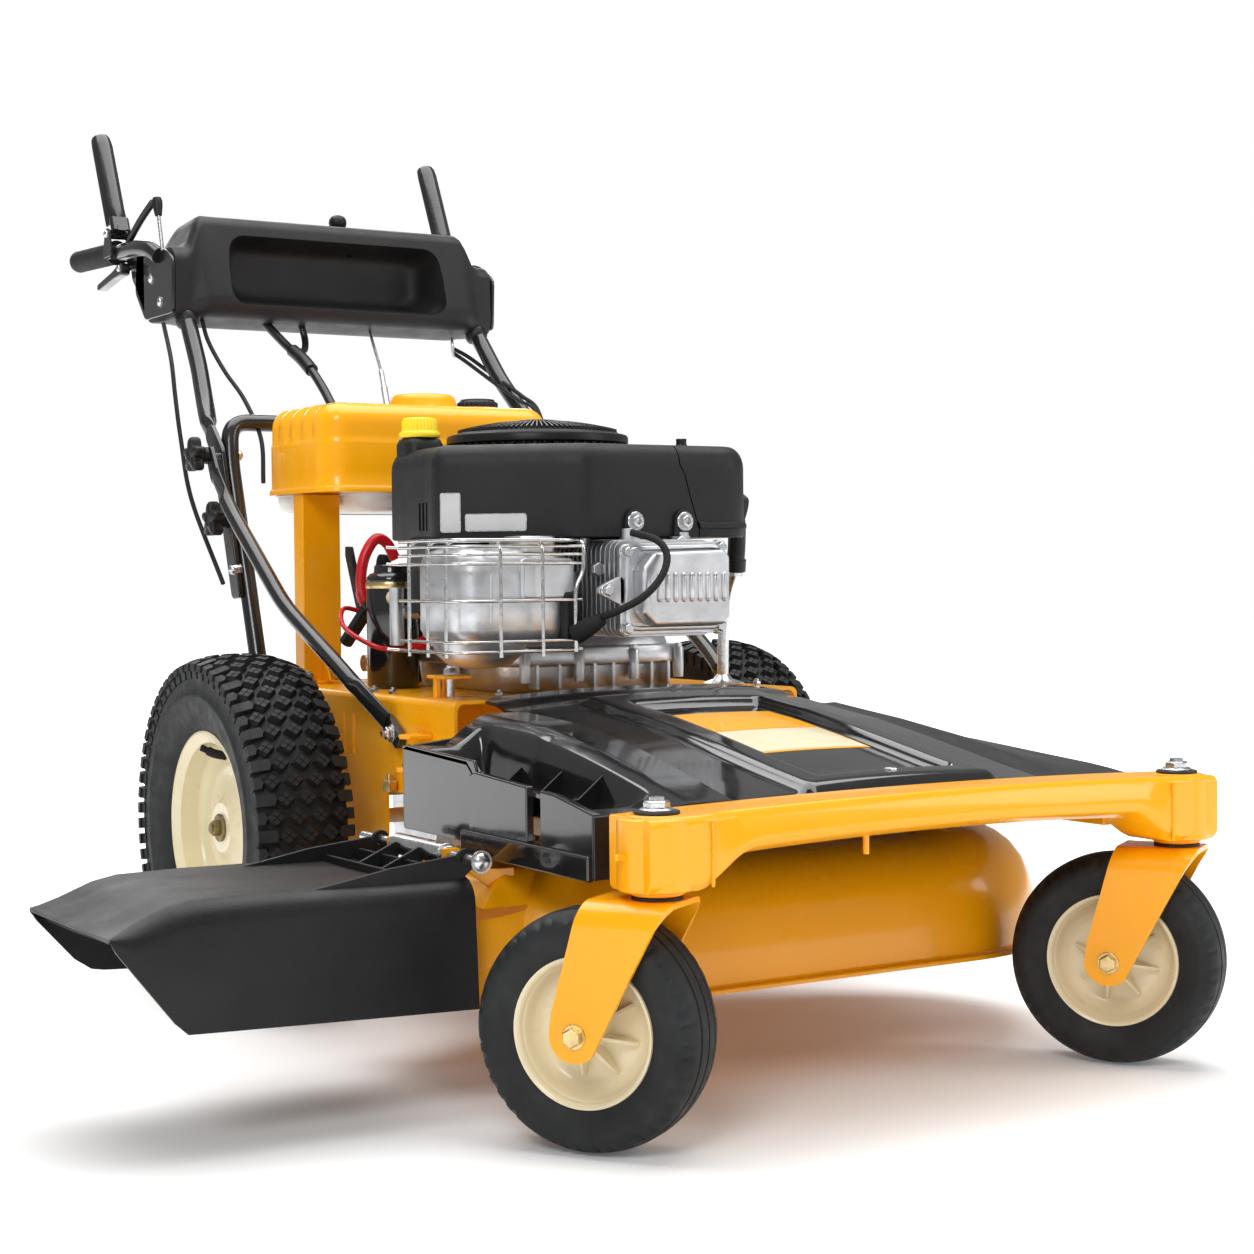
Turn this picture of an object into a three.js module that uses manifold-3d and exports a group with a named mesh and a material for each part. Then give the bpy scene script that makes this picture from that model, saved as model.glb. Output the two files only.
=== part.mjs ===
// A self-propelled walk-behind mower: engine deck on two driven wheels, a front
// beam on two casters, a height-adjustable twin-blade deck with a flip-up chute,
// and a folding handlebar with its console and controls.
// Millimetres, +Z up. While it is built the rear axle lies on X at y = 0, the
// front of the machine points to -Y and +X is the operator's left. The finished
// group is moved so that the middle of its footprint is the origin.
import * as THREE from 'three';
import { mergeVertices } from 'three/addons/utils/BufferGeometryUtils.js';
import { ConvexGeometry } from 'three/addons/geometries/ConvexGeometry.js';
import Module from 'manifold-3d';

const wasm = await Module();
wasm.setup();

// ---------------------------------------------------------------- dimensions
const GAP = 0.3;                 // clearance left between pieces that touch
const SIDES = { right: -1, left: 1 };

const REAR_R = 211;              // rear tyre radius
const REAR_W = 118;              // rear tyre width
const REAR_X = 346;              // rear tyre middle, from the mid-plane
const RIM_R = 118;               // rear rim flange radius
const AXLE_Z = REAR_R;

const CASTER_R = 110;
const CASTER_W = 72;
const CASTER_RIM_R = 66;
const PIVOT_X = 319;
const PIVOT_Y = -898;
const TRAIL = 61;                // caster axle behind its pivot
const CASTER_TURN = 33;          // degrees that both casters stand turned at rest
const FORK_TOP = 229;            // top face of the fork plate
const FORK_HALF = 46;            // half width over the legs
const PLATE = 5;                 // fork plate thickness

const CHASSIS_X = 235;           // half width of the chassis box
const CHASSIS_FRONT = -352;
const CHASSIS_REAR = 200;
const CHASSIS_TOP = 375;
const SHEET = 4;                 // chassis sheet thickness
const RAIL_X = 254;              // inner face of the side rails
const POST_Y = 125;              // front face of the tank posts
const TANK_X = 206;              // half width of the tank cover
const TANK_FRONT = 45;
const TANK_BACK = 250;
const CAP = [88, 190];           // filler cap, x and y
const BEAM_FRONT = -930;
const BEAM_BACK = -860;
const BEAM_X = 346;
const TUBE_TOP = 304;            // top of the caster pivot tubes

const SPINDLE_X = 185;
const SPINDLE_Y = -540;
const DECK_R = 197;              // radius of the deck around each blade
const DECK_LIP = 100;
const DECK_TOP = 232;
const DECK_SHEET = 3;
const BLADE_R = 177;
const BLADE_Z = 118;
const BELT_Z = 262;              // middle of the deck belt
const BELT_HALF = 5;
const PULLEY_R = 50;             // bottom of the belt groove
const DRIVE_Z = 300;             // middle of the drive belt
const DRIVE_R = 34;              // its groove on the crankshaft
const INPUT_R = 50;              // its groove on the transaxle

const HINGE_X = -391;            // chute hinge rod
const HINGE_Z = 246;
const CHUTE_FRONT = -690;
const CHUTE_BACK = -460;

const CRANK_Y = -132;            // crankshaft, at x = 0
const TRANSAXLE_Y = 60;          // its input pulley

const LEG_X = 248.5;             // lower handle legs
const HANDLE_X = 264;            // upper handle tubes at the knobs
const BRACE_X = 280;
const CONSOLE_X = 252;
const KNOBS = { upper: [262, 676], lower: [234, 590] };   // knob axes, y and z
const TUBE_END = [[238, 398, 806], [231, 459, 880], [231, 470, 905]];  // into the console
const GRIP_X = 270;
const LEVER = [632, 1018];       // clutch lever pivots, y and z
const LEVER_LEAN = 25;           // degrees that the levers lean back at rest
const TRIGGER = [604, 965];      // steering trigger pivots
const SHIFT = [40, 540, 975];    // shift lever pivot
const THROTTLE = [-150, 575, 985];
const KEY_X = 90;                // key and choke knob, either side of the middle
const HEIGHT_LEVER = [-140, 66, 402];

// ---------------------------------------------------------------- finishes
const finish = (color, roughness, metalness) => (
  new THREE.MeshStandardMaterial({ color, roughness, metalness }));
const YELLOW = finish(0xf9ae08, 0.3, 0.1);
const GLOSS_BLACK = finish(0x0c0c0d, 0.15, 0);
const BLACK = finish(0x1c1c1d, 0.55, 0);
const TUBE_BLACK = finish(0x151516, 0.35, 0.3);
const RUBBER = finish(0x232425, 0.85, 0);
const CREAM = finish(0xe9ddb8, 0.35, 0);
const CAST = finish(0xb9bbbd, 0.45, 0.8);
const STEEL = finish(0x9a9c9e, 0.4, 0.9);
const WHITE = finish(0xe9e6df, 0.5, 0);
const RED = finish(0xc01017, 0.4, 0);

const machine = new THREE.Group();

// ---------------------------------------------------------------- solids
// A closed three.js geometry as a solid, with its faces pointing out.
function solid(geometry) {
  const bare = geometry.index ? geometry.toNonIndexed() : geometry.clone();
  bare.deleteAttribute('normal');
  bare.deleteAttribute('uv');
  const merged = mergeVertices(bare, 1e-4);
  const position = merged.attributes.position.array;
  const corners = [];
  for (let i = 0; i < merged.index.count; i += 3) {
    const [a, b, c] = [0, 1, 2].map((k) => merged.index.array[i + k]);
    if (a !== b && b !== c && c !== a) corners.push(a, b, c);
  }
  const point = (i) => new THREE.Vector3().fromArray(position, 3 * i);
  let volume = 0;
  for (let i = 0; i < corners.length; i += 3) {
    volume += point(corners[i]).dot(point(corners[i + 1]).cross(point(corners[i + 2])));
  }
  if (volume < 0) {
    for (let i = 0; i < corners.length; i += 3) {
      [corners[i + 1], corners[i + 2]] = [corners[i + 2], corners[i + 1]];
    }
  }
  return new wasm.Manifold(new wasm.Mesh({
    numProp: 3,
    vertProperties: new Float32Array(position),
    triVerts: new Uint32Array(corners),
  }));
}

const join = (...pieces) => pieces.reduce((whole, piece) => whole.add(piece));
const cut = (body, ...holes) => holes.reduce((rest, hole) => rest.subtract(hole), body);
// A body drawn for the left side, or its mirror image for the right.
const onSide = (body, side) => (side > 0 ? body : body.mirror([1, 0, 0]));

function add(name, body, material, group = machine) {
  const data = body.getMesh();
  const geometry = new THREE.BufferGeometry();
  geometry.setAttribute('position', new THREE.BufferAttribute(data.vertProperties.slice(), 3));
  geometry.setIndex(new THREE.BufferAttribute(data.triVerts.slice(), 1));
  geometry.computeVertexNormals();
  const mesh = new THREE.Mesh(geometry, material);
  mesh.name = name;
  group.add(mesh);
  return mesh;
}

// Outline points of an arc, in degrees.
function arc(cx, cy, radius, from, to, steps) {
  return Array.from({ length: steps + 1 }, (_, i) => {
    const angle = THREE.MathUtils.degToRad(from + ((to - from) * i) / steps);
    return [cx + radius * Math.cos(angle), cy + radius * Math.sin(angle)];
  });
}

const circle = (cx, cy, radius, sides) => arc(cx, cy, radius, 0, 360 - 360 / sides, sides - 1);

// A rectangle with round corners.
function pill(x0, y0, x1, y1, radius, steps = 3) {
  return [
    ...arc(x1 - radius, y0 + radius, radius, -90, 0, steps),
    ...arc(x1 - radius, y1 - radius, radius, 0, 90, steps),
    ...arc(x0 + radius, y1 - radius, radius, 90, 180, steps),
    ...arc(x0 + radius, y0 + radius, radius, 180, 270, steps),
  ];
}

// Puts an outline's own plane into the machine: an outline of (y, z) runs along
// x, one of (x, z) runs along y and one of (x, y) runs along z.
const PLANES = {
  x: new THREE.Matrix4().set(0, 0, 1, 0, 1, 0, 0, 0, 0, 1, 0, 0, 0, 0, 0, 1),
  y: new THREE.Matrix4().set(1, 0, 0, 0, 0, 0, -1, 0, 0, 1, 0, 0, 0, 0, 0, 1),
  z: new THREE.Matrix4(),
};

// An outline extruded along an axis, with an optional rounded edge of `round`
// that lies inside both the outline and the two ends.
function prism(axis, outline, from, to, round = 0, rounding = 2) {
  const shape = new THREE.Shape(outline.map(([u, v]) => new THREE.Vector2(u, v)));
  const geometry = new THREE.ExtrudeGeometry(shape, {
    depth: to - from - 2 * round,
    bevelEnabled: round > 0,
    bevelThickness: round,
    bevelSize: round,
    bevelOffset: -round,
    bevelSegments: rounding,
    steps: 1,
  });
  geometry.translate(0, 0, (axis === 'y' ? -to : from) + round);
  return solid(geometry.applyMatrix4(PLANES[axis]));
}

const box = (x0, y0, z0, x1, y1, z1) => prism('z', [[x0, y0], [x1, y0], [x1, y1], [x0, y1]], z0, z1);

// A round bar between two points.
function bar(from, to, radius, sides = 12, endRadius = radius) {
  const start = new THREE.Vector3(...from);
  const along = new THREE.Vector3(...to).sub(start);
  const geometry = new THREE.CylinderGeometry(endRadius, radius, along.length(), sides);
  geometry.translate(0, along.length() / 2, 0);
  geometry.applyQuaternion(new THREE.Quaternion().setFromUnitVectors(
    new THREE.Vector3(0, 1, 0), along.clone().normalize()));
  return solid(geometry.translate(start.x, start.y, start.z));
}

// A path through points, with its corners rounded off by `bend`.
function route(points, bend) {
  const at = points.map((p) => new THREE.Vector3(...p));
  const path = new THREE.CurvePath();
  let last = at[0];
  for (let i = 1; i < at.length - 1; i += 1) {
    const before = at[i].clone().sub(at[i - 1]).setLength(bend);
    const after = at[i + 1].clone().sub(at[i]).setLength(bend);
    const entry = at[i].clone().sub(before);
    const exit = at[i].clone().add(after);
    path.add(new THREE.LineCurve3(last, entry));
    path.add(new THREE.QuadraticBezierCurve3(entry, at[i], exit));
    last = exit;
  }
  path.add(new THREE.LineCurve3(last, at[at.length - 1]));
  return path;
}

// A tube of a round section along a path.
function tube(path, radius, steps, sides = 8) {
  const section = new THREE.Shape(circle(0, 0, radius, sides).map(([u, v]) => new THREE.Vector2(u, v)));
  return solid(new THREE.ExtrudeGeometry(section, { extrudePath: path, steps, bevelEnabled: false }));
}

// A profile of (radius, height) points turned about Z. It starts and ends on
// the axis, or else it closes on itself.
function turned(profile, sides, turn = 0) {
  const closed = profile[0][0] > 0 ? [...profile, profile[0]] : profile;
  const geometry = new THREE.LatheGeometry(closed.map(([r, h]) => new THREE.Vector2(r, h)), sides, turn);
  return solid(geometry.rotateX(Math.PI / 2));
}

// A wheel part about X through (0, 0, 0), its outer side towards +X. The radii
// are grown so that the flats, not the corners, lie at the stated radius, and a
// flat points down.
function wheel(profile, sides) {
  const grow = 1 / Math.cos(Math.PI / sides);
  return turned(profile.map(([r, h]) => [r * grow, h]), sides, Math.PI / sides).rotate([0, 90, 0]);
}

// A sheet over a rectangle of the plan, its top at height(x, y).
function blanket(x0, x1, y0, y1, across, lengthwise, thickness, height) {
  const geometry = new THREE.BoxGeometry(x1 - x0, y1 - y0, thickness, across, lengthwise, 1);
  geometry.translate((x0 + x1) / 2, (y0 + y1) / 2, -thickness / 2);
  const position = geometry.attributes.position;
  for (let i = 0; i < position.count; i += 1) {
    position.setZ(i, position.getZ(i) + height(position.getX(i), position.getY(i)));
  }
  return solid(geometry);
}

// A value read off a line of (place, value) points.
function along(points, place) {
  const next = points.findIndex(([at]) => at >= place);
  if (next === 0) return points[0][1];
  if (next < 0) return points[points.length - 1][1];
  const [a, b] = [points[next - 1], points[next]];
  return a[1] + ((b[1] - a[1]) * (place - a[0])) / (b[0] - a[0]);
}

// ---------------------------------------------------------------- frame
function buildMainFrame() {
  const half = CHASSIS_X;
  const inner = half - SHEET;
  const top = box(-half, CHASSIS_FRONT, CHASSIS_TOP - SHEET, half, CHASSIS_REAR, CHASSIS_TOP);
  const rear = box(-inner, CHASSIS_REAR - SHEET, 262, inner, CHASSIS_REAR, CHASSIS_TOP - 1);
  const sideOutline = [
    [CHASSIS_FRONT, 262], [-230, 262], [-150, 186], [60, 186], [CHASSIS_REAR, 250],
    [CHASSIS_REAR, CHASSIS_TOP], [CHASSIS_FRONT, CHASSIS_TOP],
  ];
  const pieces = [top, rear];
  for (const side of Object.values(SIDES)) {
    const span = [side * inner, side * half].sort((a, b) => a - b);
    pieces.push(prism('x', sideOutline, ...span));
    // rail from the chassis side to the front beam, and the gusset that joins it
    const rail = [side * RAIL_X, side * (RAIL_X + 12)].sort((a, b) => a - b);
    const gusset = [side * (half - 2), side * (RAIL_X + 2)].sort((a, b) => a - b);
    pieces.push(box(rail[0], BEAM_BACK + GAP, 250, rail[1], -300, 286));
    pieces.push(box(gusset[0], -340, 262, gusset[1], -302, 286));
    // post that carries the fuel tank, with its foot flange
    const post = [side * 152, side * 205].sort((a, b) => a - b);
    pieces.push(box(post[0], POST_Y, CHASSIS_TOP - 1, post[1], POST_Y + 30, 621.7));
    pieces.push(box(post[0] - 6, POST_Y - 16, CHASSIS_TOP - 1, post[1] + 6, POST_Y + 32, CHASSIS_TOP + 4));
  }
  // idler bracket on the front right corner of the top plate
  pieces.push(box(-214, -292, CHASSIS_TOP - 1, -206, -268, 397), box(-224, -300, 396, -184, -262, 400));
  const frame = join(...pieces);
  const axleHole = bar([-half - 20, 0, AXLE_Z], [half + 20, 0, AXLE_Z], 15, 16);
  const crankHole = bar([0, CRANK_Y, 300], [0, CRANK_Y, 420], 22, 16);
  return cut(frame, axleHole, crankHole);
}

function buildFrontBeam() {
  const outline = [
    [-BEAM_X, 236], [-282, 236], [-240, 262], [-150, 268], [150, 268], [240, 262], [282, 236],
    [BEAM_X, 236], [BEAM_X, 302], [180, 306], [0, 308], [-180, 306], [-BEAM_X, 302],
  ];
  const shell = prism('y', outline, BEAM_FRONT, BEAM_BACK, 6, 1);
  const tubes = Object.values(SIDES).map((side) => (
    bar([side * PIVOT_X, PIVOT_Y, 232], [side * PIVOT_X, PIVOT_Y, TUBE_TOP], 22, 14)));
  const bores = Object.values(SIDES).map((side) => (
    bar([side * PIVOT_X, PIVOT_Y, 200], [side * PIVOT_X, PIVOT_Y, 340], 13.3, 14)));
  return cut(join(shell, ...tubes), ...bores);
}

// ---------------------------------------------------------------- covers
const CENTRE_TOP = [[-852, 304], [-770, 318], [-640, 344], [-500, 364], [-420, 374], [-341, 377]];

function buildCentreCover() {
  const height = (x, y) => along(CENTRE_TOP, y) - 10 * (x / 196) ** 2;
  const sheet = blanket(-196, 196, -852, -341, 6, 6, 4, height);
  const band = blanket(-92, 108, -846, -400, 3, 5, 8, (x, y) => height(x, y) + 4);
  // skirt hooked over the front edge of the chassis
  return cut(join(sheet, band), box(-240, -352.5, 300, 240, -330, 376 + GAP));
}

function buildSideCover(side) {
  const edge = side < 0 ? -343 : 330;
  const inner = side * 196.5;
  const [x0, x1] = [edge, inner].sort((a, b) => a - b);
  const rear = -442;
  const front = side < 0 ? -838 : -852;
  const height = (x, y) => {
    const outward = Math.abs(x - inner) / Math.abs(edge - inner);
    const crown = along(CENTRE_TOP, y) - 10;
    const rim = along([[front, 296], [-770, 332], [-590, 330], [rear, 337]], y);
    return crown + (rim - crown) * outward;
  };
  const sheet = blanket(x0, x1, front, rear, 4, 8, 4, height);
  const wallSpan = [edge, edge - side * 3.5].sort((a, b) => a - b);
  const wall = prism('x', [[front, 238], [-585, 247], [rear, 252], [rear, 335], [-590, 329],
    [-770, 330], [front, 295]], ...wallSpan);
  const end = prism('y', [
    [edge, 252], [side * 272, 252], [side * 272, 292], [inner, 292], [inner, 334], [edge, 334],
  ], rear - 3.5, rear);
  const cover = join(sheet, wall, end);
  return side < 0 ? cut(cover, box(-330, -700, 300, -262, -470, 420)) : cover;
}

// ---------------------------------------------------------------- fuel system
// The tank hangs from its slab on the two posts, with a lobe between the posts
// and one behind them.
function buildFuelTank() {
  const x = TANK_X - 6;
  const back = TANK_BACK - 6;
  const slab = prism('z', pill(-x, TANK_FRONT + 6, x, back, 36), 622, 700, 6, 1);
  const frontLobe = prism('z', pill(-146, TANK_FRONT + 12, 146, back, 40), 597, 660, 24, 2);
  const backLobe = prism('z', pill(-x, POST_Y + 33, x, back, 36), 597, 660, 20, 2);
  const neck = bar([...CAP, 690], [...CAP, 746], 26, 14);
  return join(slab, frontLobe, backLobe, neck);
}

function buildTankCover() {
  // `inset` inside the outer surface, with the edges rounded by `round`
  const form = (inset, low, round) => {
    const [y0, y1] = [TANK_FRONT + inset, TANK_BACK - inset];
    return join(
      prism('z', pill(-TANK_X + inset, y0, 128 - inset, y1, 34), low, 737 - inset, round, 3),
      prism('z', pill(40, y0, TANK_X - inset, y1, 34), low, 716 - inset, round, 2));
  };
  const outer = form(0, 590, 20).intersect(box(-300, -50, 622, 300, 300, 800));
  const hump = bar([-18, 147, 730], [-18, 147, 757], 44, 16, 36);
  const fill = bar([...CAP, 690], [...CAP, 760], 30, 12);
  return cut(join(outer, hump), form(4, 580, 18), fill);
}

const buildFuelCap = () => join(
  bar([...CAP, 746 + GAP], [...CAP, 754], 28, 14), bar([...CAP, 748], [...CAP, 757], 24, 14));

// ---------------------------------------------------------------- engine
const FILLER_Y = -177; // the oil filler

function buildCrankcase() {
  const sump = prism('z', pill(-125, -285, 125, 10, 60), CHASSIS_TOP + GAP, 450, 0);
  const block = bar([0, CRANK_Y, 440], [0, CRANK_Y, 560], 112, 16);
  const cylinder = prism('y', pill(-70, 440, 62, 552, 16), -424, -180, 0);
  const boss = bar([-186, FILLER_Y, 470], [-186, FILLER_Y, 677], 15, 12);
  const bossFoot = box(-190, FILLER_Y - 12, 465, -60, FILLER_Y + 12, 490);
  const shaftHole = bar([0, CRANK_Y, 360], [0, CRANK_Y, 700], 14, 16);
  return cut(join(sump, block, cylinder, boss, bossFoot), shaftHole);
}

function buildValveCover() {
  const plate = prism('y', pill(-72, 452, 60, 541, 12), -431, -424 - GAP);
  const field = prism('y', pill(-52, 464, 56, 530, 10), -452, -428, 6, 1);
  return join(plate, field);
}

// Plan of the blower housing: round about the crankshaft, drawn forward over
// the cylinder and the muffler.
const SHROUD_PLAN = [
  ...arc(0, CRANK_Y, 172, 14, 165, 12),
  [-215, -152], [-219, -255], ...arc(-198, -278, 24, 165, 215, 3),
  [-110, -385], ...arc(-80, -372, 28, 235, 270, 3), [30, -400],
];
const SHROUD_FRONT = [...SHROUD_PLAN, ...arc(105, -362, 38, -90, 0, 4), [150, -240]];

function buildShroud() {
  const body = prism('z', SHROUD_FRONT, 556, 663, 14, 2);
  const inner = prism('z', pill(-118, -380, 118, 14, 100), 500, 649);
  const cooling = bar([0, CRANK_Y, 600], [0, CRANK_Y, 720], 102, 20);
  const cleanerRoom = box(36 - GAP, -460, 520, 260, -170, 720);
  const oilNeck = bar([-186, FILLER_Y, 500], [-186, FILLER_Y, 720], 15 + GAP, 12);
  return cut(body, inner, cooling, cleanerRoom, oilNeck);
}

function buildAirCleaner() {
  const body = prism('z', SHROUD_FRONT, 566, 661, 14, 2).intersect(box(36, -460, 500, 260, -170, 720));
  const inner = prism('z', pill(40, -390, 140, -174, 10), 500, 649);
  const clearOfScreen = bar([0, CRANK_Y, 500], [0, CRANK_Y, 760], 104, 20);
  const knob = bar([84, -330, 648], [84, -330, 674], 7, 10);
  return cut(join(body, knob), cut(inner, box(30, -340, 637, 100, -320, 700)), clearOfScreen);
}

function buildScreen() {
  const profile = [[0, 667], [113, 667], [113, 684], [110, 686], [101, 687], [96, 692], [60, 701], [0, 705]];
  return turned(profile, 20).translate([0, CRANK_Y, 0]);
}

// A belt pulley: the groove between two flanges that stand 9 mm proud of it.
function pulley(x, y, z, radius) {
  return [
    bar([x, y, z - 9], [x, y, z - BELT_HALF - GAP], radius + 9, 14),
    bar([x, y, z - 7], [x, y, z + 7], radius, 14),
    bar([x, y, z + BELT_HALF + GAP], [x, y, z + 9], radius + 9, 14),
  ];
}

function buildCrankshaft() {
  const shaft = bar([0, CRANK_Y, 243], [0, CRANK_Y, 667 - GAP], 12.5, 16);
  return join(shaft, ...pulley(0, CRANK_Y, BELT_Z, PULLEY_R), ...pulley(0, CRANK_Y, DRIVE_Z, DRIVE_R));
}

function buildMuffler() {
  const can = prism('z', pill(-238, -384, -112, -262, 34), 408, 546, 12, 2);
  const pipe = bar([-150, -300, 508], [-84, -300, 508], 15, 10);
  return join(can, pipe).subtract(box(-71 - GAP, -330, 460, 0, -270, 560));
}

// Cage of flat wire around the muffler.
function buildGuard() {
  const wire = 4;
  const hoop = (z) => cut(prism('z', pill(-252, -402, -92, -250, 38, 2), z, z + wire),
    prism('z', pill(-252 + wire, -402 + wire, -92 - wire, -250 - wire, 38 - wire, 2), z - 1, z + wire + 1));
  const posts = [[-252, -340], [-207, -402], [-167, -402], [-127, -402]];
  const cage = join(...[430, 486, 528, 549].map(hoop),
    ...posts.map(([x, y]) => box(x, y, 426, x + wire, y + wire, 554)));
  return cut(cage, prism('z', pill(-126, -286, 126, 11, 60), 370, 452));
}

const buildOilCap = () => join(
  bar([-186, FILLER_Y, 677 + GAP], [-186, FILLER_Y, 687], 23, 16),
  bar([-186, FILLER_Y, 686], [-186, FILLER_Y, 701], 20, 16));

function buildStarter() {
  const y = -48;
  const x = -162;
  return join(bar([x, y, CHASSIS_TOP + 2 + GAP], [x, y, 512], 32, 20), bar([x, y, 510], [x, y, 528], 22, 16),
    bar([x - 12, y - 24, 486], [x - 22, y - 50, 484], 12, 10));
}

const buildBattery = () => join(prism('z', pill(-95, 66, 55, 140, 4), CHASSIS_TOP + GAP, 505),
  box(-85, 78, 500, -70, 92, 515), box(30, 78, 500, 45, 92, 515));

// ---------------------------------------------------------------- drive
function buildTransaxle() {
  const housing = prism('x', pill(-52, 158, 96, 272, 30, 2), -100, 100, 10, 1);
  const input = join(bar([0, TRANSAXLE_Y, 270], [0, TRANSAXLE_Y, 312], 10, 12),
    ...pulley(0, TRANSAXLE_Y, DRIVE_Z, INPUT_R));
  const bores = Object.values(SIDES).map((side) => (
    bar([side * 60, 0, AXLE_Z], [side * 110, 0, AXLE_Z], 10.5, 12)));
  const brackets = Object.values(SIDES).map((side) => {
    const [x0, x1] = [side * 80, side * (CHASSIS_X - SHEET - GAP)].sort((a, b) => a - b);
    return box(x0, 40, 232, x1, 80, 240);
  });
  return cut(join(housing, input, ...brackets), ...bores);
}

// A flat loop of belt around pulleys given as [x, y, radius].
function belt(pulleys, z) {
  const hull = (extra, half) => {
    const rims = pulleys.flatMap(([x, y, r]) => circle(x, y, r + extra, 18));
    return solid(new ConvexGeometry(rims.flatMap(([u, v]) => (
      [new THREE.Vector3(u, v, z - half), new THREE.Vector3(u, v, z + half)]))));
  };
  return cut(hull(8, BELT_HALF), hull(1.6, BELT_HALF + 5));
}

// ---------------------------------------------------------------- mower deck
const DECK_LEFT = SPINDLE_X + DECK_R;

// Plan of the deck, `inset` inside its outer wall: two lobes around the blades
// and a straight-sided mouth on the operator's right, behind the right lobe.
function deckPlan(inset) {
  const radius = DECK_R - inset;
  return [
    ...arc(SPINDLE_X, SPINDLE_Y, radius, -90, 90, 9),
    ...arc(-SPINDLE_X, SPINDLE_Y, radius, 90, 130, 3),
    [-DECK_LEFT + inset, -420 - inset],
    [-DECK_LEFT + inset, -668 + inset / 2],
    ...arc(-SPINDLE_X, SPINDLE_Y, radius, 222, 270, 4),
  ];
}

function buildDeckShell() {
  const dome = 44;
  const outer = prism('z', deckPlan(0), DECK_LIP - dome, DECK_TOP, dome, 2);
  const inner = prism('z', deckPlan(DECK_SHEET), DECK_LIP - dome - 20, DECK_TOP - DECK_SHEET, dome, 1);
  const below = box(-500, -900, 0, 500, -200, DECK_LIP);
  const mouth = box(-DECK_LEFT - 30, -664, 0, -SPINDLE_X - 120, -440, 196);
  const pieces = [cut(outer, inner, below, mouth)];
  for (const side of Object.values(SIDES)) {
    pieces.push(bar([side * SPINDLE_X, SPINDLE_Y, DECK_TOP - 2], [side * SPINDLE_X, SPINDLE_Y, 246], 40, 14));
    pieces.push(bar([side * SPINDLE_X, SPINDLE_Y, 140], [side * SPINDLE_X, SPINDLE_Y, DECK_TOP - 1], 26, 12));
    const hanger = [side * (RAIL_X - 8), side * (RAIL_X - 3)].sort((a, b) => a - b);
    pieces.push(box(hanger[0], -610, DECK_TOP - 2, hanger[1], -570, 262));
    pieces.push(box(hanger[0], -470, DECK_TOP - 2, hanger[1], -430, 262));
  }
  // chute hinge rod and the two brackets that hold it
  pieces.push(bar([HINGE_X, CHUTE_FRONT - 14, HINGE_Z], [HINGE_X, CHUTE_BACK + 12, HINGE_Z], 5, 10));
  for (const y of [-640, -520]) {
    pieces.push(prism('y', [[HINGE_X - 7, HINGE_Z - 7], [HINGE_X + 6, HINGE_Z - 8], [-340, 214], [-325, 214],
      [-325, 228], [HINGE_X + 8, HINGE_Z + 7], [HINGE_X - 7, HINGE_Z + 7]], y - 4, y + 4));
  }
  const shafts = Object.values(SIDES).map((side) => (
    bar([side * SPINDLE_X, SPINDLE_Y, 100], [side * SPINDLE_X, SPINDLE_Y, 260], 13, 14)));
  return cut(join(...pieces), ...shafts);
}

function buildBlade() {
  const shaft = bar([0, 0, 110], [0, 0, 278], 12.5, 14);
  const bolt = bar([0, 0, 108], [0, 0, BLADE_Z + 1], 15, 6);
  const disc = bar([0, 0, BLADE_Z], [0, 0, BLADE_Z + 14], 24, 12);
  const flat = prism('z', pill(-BLADE_R, -27, BLADE_R, 27, 4, 1), BLADE_Z, BLADE_Z + 4);
  const wing = prism('x', [[-2, 0], [18, 0], [26, 16], [22, 18], [14, 4], [-2, 4]], 0, 62);
  const wings = [0, 180].map((turn) => wing.translate([BLADE_R - 66, 0, BLADE_Z]).rotate([0, 0, turn]));
  return join(shaft, bolt, disc, flat, ...wings, ...pulley(0, 0, BELT_Z, PULLEY_R));
}

// Discharge chute: a top plate with a wall in front and one behind, open below
// and at the outer end. It hangs by two lugs on the hinge rod.
function buildChute() {
  const inner = -DECK_LEFT - 8;
  const topLine = [[-746, 205], [-672, 229], [inner, 226]];
  const top = prism('y', [...topLine, [inner, 222], [-672, 225], [-746, 201]], CHUTE_FRONT, CHUTE_BACK);
  const wall = (y0, y1, corner) => (
    prism('y', [[-746, 203], [-672, 227], [inner, 224], [inner, 106], corner], y0, y1));
  const front = wall(CHUTE_FRONT, CHUTE_FRONT + 4, [-683, 119]);
  const back = wall(CHUTE_BACK - 4, CHUTE_BACK, [-690, 138]);
  const lugs = [CHUTE_FRONT + 18, CHUTE_BACK - 26].map((y) => prism('y', [
    [-560, 224], [inner + 6, 224], [HINGE_X + 11, HINGE_Z - 4], [HINGE_X + 9, HINGE_Z + 9],
    [HINGE_X - 8, HINGE_Z + 10],
  ], y, y + 8));
  const rod = bar([HINGE_X, CHUTE_FRONT - 30, HINGE_Z], [HINGE_X, CHUTE_BACK + 30, HINGE_Z], 5 + GAP, 10);
  return cut(join(top, front, back, ...lugs), rod);
}

// ---------------------------------------------------------------- wheels
function buildRearTyre() {
  const h = REAR_W / 2;
  return wheel([
    [104.6, -35], [119, -39.4], [132, -51], [165, -h], [200, -50], [REAR_R, -22],
    [REAR_R, 22], [200, 50], [165, h], [132, 51], [119, 39.4], [104.6, 35],
    [165, 51], [199, 0], [165, -51],
  ], 20);
}

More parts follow.
